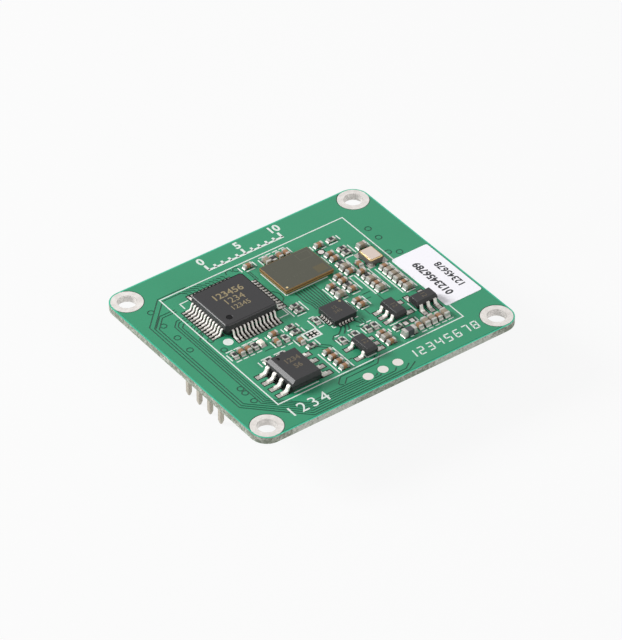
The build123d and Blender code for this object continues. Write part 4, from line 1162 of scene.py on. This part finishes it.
class SENSOR_OT_radar_package(bpy.types.Operator):
    """Finish the two-layer radar package"""
    bl_idname = "sensor.radar_package"
    bl_label = "Radar package"

    def execute(self, context):
        for name in ("radar_core", "radar_antenna_layer"):
            refine(name, "radar_laminate_side", FINE_ROUND, 1)
        low, high = box_of("radar_antenna_layer")
        x, y, top = low.x, low.y, high.z
        film, seam, patch, golden = (bmesh.new() for _ in range(4))
        add_footprints(film, [(low, high)], -RADAR_FILM_INSET, top - 0.01, top + RADAR_FILM_RISE)
        make_piece("radar_top_mask", film, "radar_top_mask")
        add_footprints(seam, [(low, high)], RADAR_SEAM_PROUD, low.z - RADAR_SEAM_FOOT,
                       low.z + RADAR_SEAM_HEAD)
        make_piece("radar_seam", seam, "radar_seam")
        lines = [[(x + u, y + v) for u, v in RADAR_FRAME]]
        lines += [[(x + u, y + v), (x + u + RADAR_TICK, y + v)] for u, v in RADAR_TICKS_ALONG]
        lines += [[(x + u, y + v), (x + u, y + v + RADAR_TICK)] for u, v in RADAR_TICKS_ACROSS]
        make_piece("radar_top_lines", strips(lines, RADAR_LINE, top, top + RADAR_LINE_RISE),
                   "radar_top_line")
        (left, front), (right, back) = RADAR_PATCH
        add_box(patch, (high.x + left, y + front, top), (high.x + right, y + back, top + RADAR_PATCH_RISE))
        make_piece("radar_top_patch", patch, "radar_top_tan")
        inwards, radius = RADAR_GOLD_DOT
        add_disc(golden, x + inwards, y + inwards, radius, top, top + RADAR_LINE_RISE)
        make_piece("radar_gold_mark", golden, "radar_gold_mark")
        return {"FINISHED"}


class SENSOR_OT_chip_parts(bpy.types.Operator):
    """Round and finish the capacitors, resistors and the ferrite bead"""
    bl_idname = "sensor.chip_parts"
    bl_label = "Chip parts"

    def execute(self, context):
        kinds = {"small_capacitors": ("brown_ceramic", "brown_ceramic"),
                 "resistor_bases": ("white_ceramic", "white_ceramic"),
                 "large_capacitors": ("beige_ceramic", "beige_ceramic"),
                 # The small terminals take tin darkened as painted shade
                 "chip_terminals": ("bright_tin", "chip_terminals"),
                 "resistor_films": ("resistor_film", "resistor_film")}
        for side in ("controller_side", "radar_side", "supply_side"):
            for kind, (finish_name, slot) in kinds.items():
                name = side + "_" + kind
                if name in NODES:
                    width = FILM_ROUND if kind == "resistor_films" else CHIP_ROUND
                    refine(name, finish_name, width, 2)
        refine("ferrite_bead", "ferrite", FERRITE_ROUND, 2, "finished_ferrite")
        # The ferrite's ends take tin darkened as painted shade
        refine("ferrite_terminals", "bright_tin", FERRITE_ROUND, 2,
               "finished_ferrite_ends")
        return {"FINISHED"}


class SENSOR_OT_crystal(bpy.types.Operator):
    """Finish the crystal's base, seal ring and lid, and solder its corners"""
    bl_idname = "sensor.crystal"
    bl_label = "Crystal"

    def execute(self, context):
        refine("crystal_base", "dark_ceramic", 0.02, 2)
        refine("crystal_seal_ring", "gold_ring", 0.04, 2)
        refine("crystal_lid", "crystal_lid", 0.03, 2)
        low, high = box_of("crystal_base")
        bm = bmesh.new()
        for x, out_x in ((low.x, -1), (high.x, 1)):
            for y, out_y in ((low.y, -1), (high.y, 1)):
                for out, side, inwards, foot, head, round_by in CRYSTAL_SOLDER:
                    start, end = sorted((x + out * out_x, x - inwards * out_x))
                    near, far = sorted((y + side * out_y, y - inwards * out_y))
                    add_box(bm, (start, near, TOP + foot), (end, far, TOP + head), round_by, 2)
        make_piece("crystal_solder", bm, "reflowed_solder")
        return {"FINISHED"}


class SENSOR_OT_status_led(bpy.types.Operator):
    """Finish the light-emitting diode"""
    bl_idname = "sensor.status_led"
    bl_label = "Status light"

    def execute(self, context):
        refine("status_led_lens", "led_lens", 0.06, 3, "finished_led_lens")
        refine("status_led_base", "led_carrier", 0.01, 1, "finished_led_carrier")
        # The light's ends take tin darkened as painted shade
        refine("status_led_terminals", "bright_tin", 0.02, 1, "finished_led_ends")
        return {"FINISHED"}


class SENSOR_OT_label(bpy.types.Operator):
    """Finish the paper label"""
    bl_idname = "sensor.label"
    bl_label = "Label"

    def execute(self, context):
        refine("label", "label_paper", 0.015, 2)
        top = box_of("label")[1].z
        bm = bmesh.new()
        for text, place, height, weight in LABEL_ROWS:
            add_digits(bm, text, place, height, top - 0.004, top + 0.003, math.pi / 2, weight)
        make_piece("label_print", bm, "label_ink")
        return {"FINISHED"}


class SENSOR_OT_headers(bpy.types.Operator):
    """Finish the pin headers"""
    bl_idname = "sensor.headers"
    bl_label = "Headers"

    def execute(self, context):
        for side in ("left", "right"):
            refine(side + "_header_body", "header_plastic", 0.05, 2)
            refine(side + "_header_pins", "header_pins", 0.03, 1)
        return {"FINISHED"}


def foot_footprints():
    """Footprints of the header pins' feet: two corners of each land."""
    boxes = []
    for side in ("left", "right"):
        body_low, body_high = box_of(side + "_header_body")
        axis = (body_low.x + body_high.x) / 2
        for low, high in solids_of(side + "_header_pins"):
            out = math.copysign(1, (low.x + high.x) / 2 - axis)
            tip = high.x if out > 0 else low.x
            start, end = sorted((tip + FOOT_PAST_TIP * out, tip - FOOT_INWARDS * out))
            middle = (low.y + high.y) / 2
            boxes.append((Vector((start, middle - FOOT_HALF_WIDTH, 0)),
                          Vector((end, middle + FOOT_HALF_WIDTH, 0))))
    return boxes


class SENSOR_OT_underside(bpy.types.Operator):
    """Finish the underside: mask, tracks, lands and solder at the header's feet, printed pin numbers"""
    bl_idname = "sensor.underside"
    bl_label = "Underside"

    def execute(self, context):
        look = context.scene.board_look
        feet = foot_footprints()
        make_piece("under_mask_base", mask_film(0, -MASK_BASE, 0), "mask_over_laminate")
        make_piece("under_mask_on_copper", mask_pour(look, 0, -MASK_TOP, -MASK_BASE / 2, UNDER_GAPS, feet),
                   "solder_mask")
        lands = add_footprints(bmesh.new(), feet, 0, FOOT_LAND_LOW, FOOT_LAND_HIGH)
        pillows = add_footprints(bmesh.new(), feet, -FOOT_SOLDER_INSET, FOOT_SOLDER_LOW, FOOT_SOLDER_HIGH,
                                 FOOT_SOLDER_ROUND, 3)
        make_piece("foot_lands", lands, "land_tin")
        make_piece("foot_solder", pillows, "reflowed_solder")
        low, high = -SILK_TOP, -MASK_BASE
        outlines = []
        numbers = bmesh.new()
        for side, out in (("left", 1), ("right", -1)):
            body_low, body_high = box_of(side + "_header_body")
            left = max(body_low.x - UNDER_FRAME_X, UNDER_EDGE_CLEAR - HALF_X)
            right = min(body_high.x + UNDER_FRAME_X, HALF_X - UNDER_EDGE_CLEAR)
            front, back = body_low.y - UNDER_FRAME_Y, body_high.y + UNDER_FRAME_Y
            outlines.append([(left, front), (right, front), (right, back), (left, back), (left, front)])
            x = right + UNDER_DIGIT_GAP if out > 0 else left - UNDER_DIGIT_GAP
            rows = sorted((pin[0].y + pin[1].y) / 2 for pin in solids_of(side + "_header_pins"))
            for i, y in enumerate(rows):
                add_digits(numbers, str(i + 1), (x, y), UNDER_DIGIT_HEIGHT, low, high, below=True)
        lines = strips(outlines, look.line_width / MM, low, high)
        make_piece("under_print", joined(lines, numbers), "print_white")
        return {"FINISHED"}


def seen_directly(tree, path):
    """1 where the camera sees a surface itself, in a mirror or through glass."""
    seen = maths(tree, "MAXIMUM", path.outputs["Is Camera Ray"], path.outputs["Is Glossy Ray"])
    return maths(tree, "MAXIMUM", seen, path.outputs["Is Transmission Ray"])


def floor_material(look):
    """A pale floor: white to the camera, with part of the object's shadow kept, and clear from below."""
    material = bpy.data.materials.new("stage_floor" + FINISH)
    material.use_nodes = True
    tree = material.node_tree
    shader = tree.nodes["Principled BSDF"]
    feed(tree, shader, {"Base Color": tuple(look.floor), "Roughness": 0.9, "Specular IOR Level": 0.0})
    path = node(tree, "LightPath")
    glowing = maths(tree, "MULTIPLY", seen_directly(tree, path), 1 - look.shadow_share)
    glow = node(tree, "Emission", {"Color": (1, 1, 1, 1), "Strength": look.floor_glow}).outputs[0]
    blend = node(tree, "MixShader", {0: glowing, 1: shader.outputs[0], 2: glow}).outputs[0]
    behind = maths(tree, "MULTIPLY", node(tree, "NewGeometry").outputs["Backfacing"],
                   path.outputs["Is Camera Ray"])
    clear = node(tree, "BsdfTransparent").outputs[0]
    both = node(tree, "MixShader", {0: behind, 1: blend, 2: clear})
    tree.links.new(both.outputs[0], tree.nodes["Material Output"].inputs["Surface"])
    return material


def make_world(look):
    """Soft light that is stronger from above, seen as white by the camera and in reflections."""
    world = bpy.data.worlds.new("studio")
    bpy.context.scene.world = world
    world.use_nodes = True
    tree = world.node_tree
    tree.nodes.clear()
    way = node(tree, "SeparateXYZ", {0: node(tree, "TexCoord").outputs["Generated"]})
    sky = ranged(tree, way.outputs["Z"], 0.0, 1.0, WORLD_LOW * look.world_strength,
                 WORLD_HIGH * look.world_strength)
    strength = ranged(tree, seen_directly(tree, node(tree, "LightPath")), 0.0, 1.0, sky, 1.0)
    light = node(tree, "Background", {"Color": (1, 1, 1, 1), "Strength": strength})
    tree.links.new(light.outputs[0], node(tree, "OutputWorld").inputs["Surface"])


def add_lamp(name, size, power, place):
    """A square soft lamp that points at the object."""
    lamp = bpy.data.lights.new(name, "AREA")
    lamp.size = size
    lamp.energy = power
    light = bpy.data.objects.new(name, lamp)
    turn = Vector(place).to_track_quat("Z", "Y").to_matrix().to_4x4()
    light.matrix_world = Matrix.Translation(place) @ turn
    bpy.context.scene.collection.objects.link(light)


class SENSOR_OT_stage(bpy.types.Operator):
    """Set up the floor, the light and the camera"""
    bl_idname = "sensor.stage"
    bl_label = "Stage"

    def execute(self, context):
        look = context.scene.stage_look
        bm = bmesh.new()
        bmesh.ops.create_grid(bm, x_segments=1, y_segments=1, size=FLOOR_SIZE)
        bmesh.ops.translate(bm, verts=bm.verts, vec=(0, 0, CAD_BOX[0][2]))
        floor = held_object("floor", bm)
        floor.data.materials.append(floor_material(look))
        target = Vector((look.target_x, look.target_y, TOP * MM))
        cos_up = math.cos(look.elevation)
        back = Vector((math.sin(look.azimuth) * cos_up, -math.cos(look.azimuth) * cos_up,
                       math.sin(look.elevation)))
        right = Vector((math.cos(look.azimuth), math.sin(look.azimuth), 0))
        turn = Matrix((right, back.cross(right), back)).transposed().to_4x4()
        camera = bpy.data.objects.new("camera", bpy.data.cameras.new("camera"))
        camera.data.lens = look.lens
        camera.data.clip_start = 0.01
        camera.matrix_world = Matrix.Translation(target + back * look.distance) @ turn
        context.scene.collection.objects.link(camera)
        context.scene.camera = camera
        add_lamp("key", KEY_SIZE, look.key_power, KEY_PLACE)
        add_lamp("fill", FILL_SIZE, look.fill_power, FILL_PLACE)
        make_world(look)
        context.scene.view_settings.view_transform = "Standard"
        return {"FINISHED"}


class SENSOR_PT_sidebar(bpy.types.Panel):
    """Lists the steps that dress the sensor module"""
    bl_label = "Radar sensor module"
    bl_idname = "SENSOR_PT_sidebar"
    bl_space_type = "VIEW_3D"
    bl_region_type = "UI"
    bl_category = "Sensor"

    def draw(self, context):
        for step in STEPS:
            self.layout.operator(step.bl_idname)


LOOKS = {BOARD: BoardLook, PACKAGE: PackageLook, METAL: MetalLook, STAGE: StageLook}
STEPS = (
    SENSOR_OT_board_finish, SENSOR_OT_printed_lines, SENSOR_OT_printed_numbers, SENSOR_OT_lands,
    SENSOR_OT_solder, SENSOR_OT_leads, SENSOR_OT_moulded_bodies, SENSOR_OT_package_marks,
    SENSOR_OT_radar_package, SENSOR_OT_chip_parts, SENSOR_OT_crystal, SENSOR_OT_status_led,
    SENSOR_OT_label, SENSOR_OT_headers, SENSOR_OT_underside, SENSOR_OT_stage,
)


def register():
    for look in LOOKS.values():
        bpy.utils.register_class(look)
    for step in (*STEPS, SENSOR_PT_sidebar):
        bpy.utils.register_class(step)
    for name, look in LOOKS.items():
        setattr(bpy.types.Scene, name, PointerProperty(type=look))


def unregister():
    for name in LOOKS:
        delattr(bpy.types.Scene, name)
    for step in (SENSOR_PT_sidebar, *reversed(STEPS)):
        bpy.utils.unregister_class(step)
    for look in LOOKS.values():
        bpy.utils.unregister_class(look)


def main():
    """Dresses the module step by step."""
    register()
    for step in STEPS:
        group, name = step.bl_idname.split(".")
        getattr(getattr(bpy.ops, group), name)()


if __name__ == "__main__":
    main()
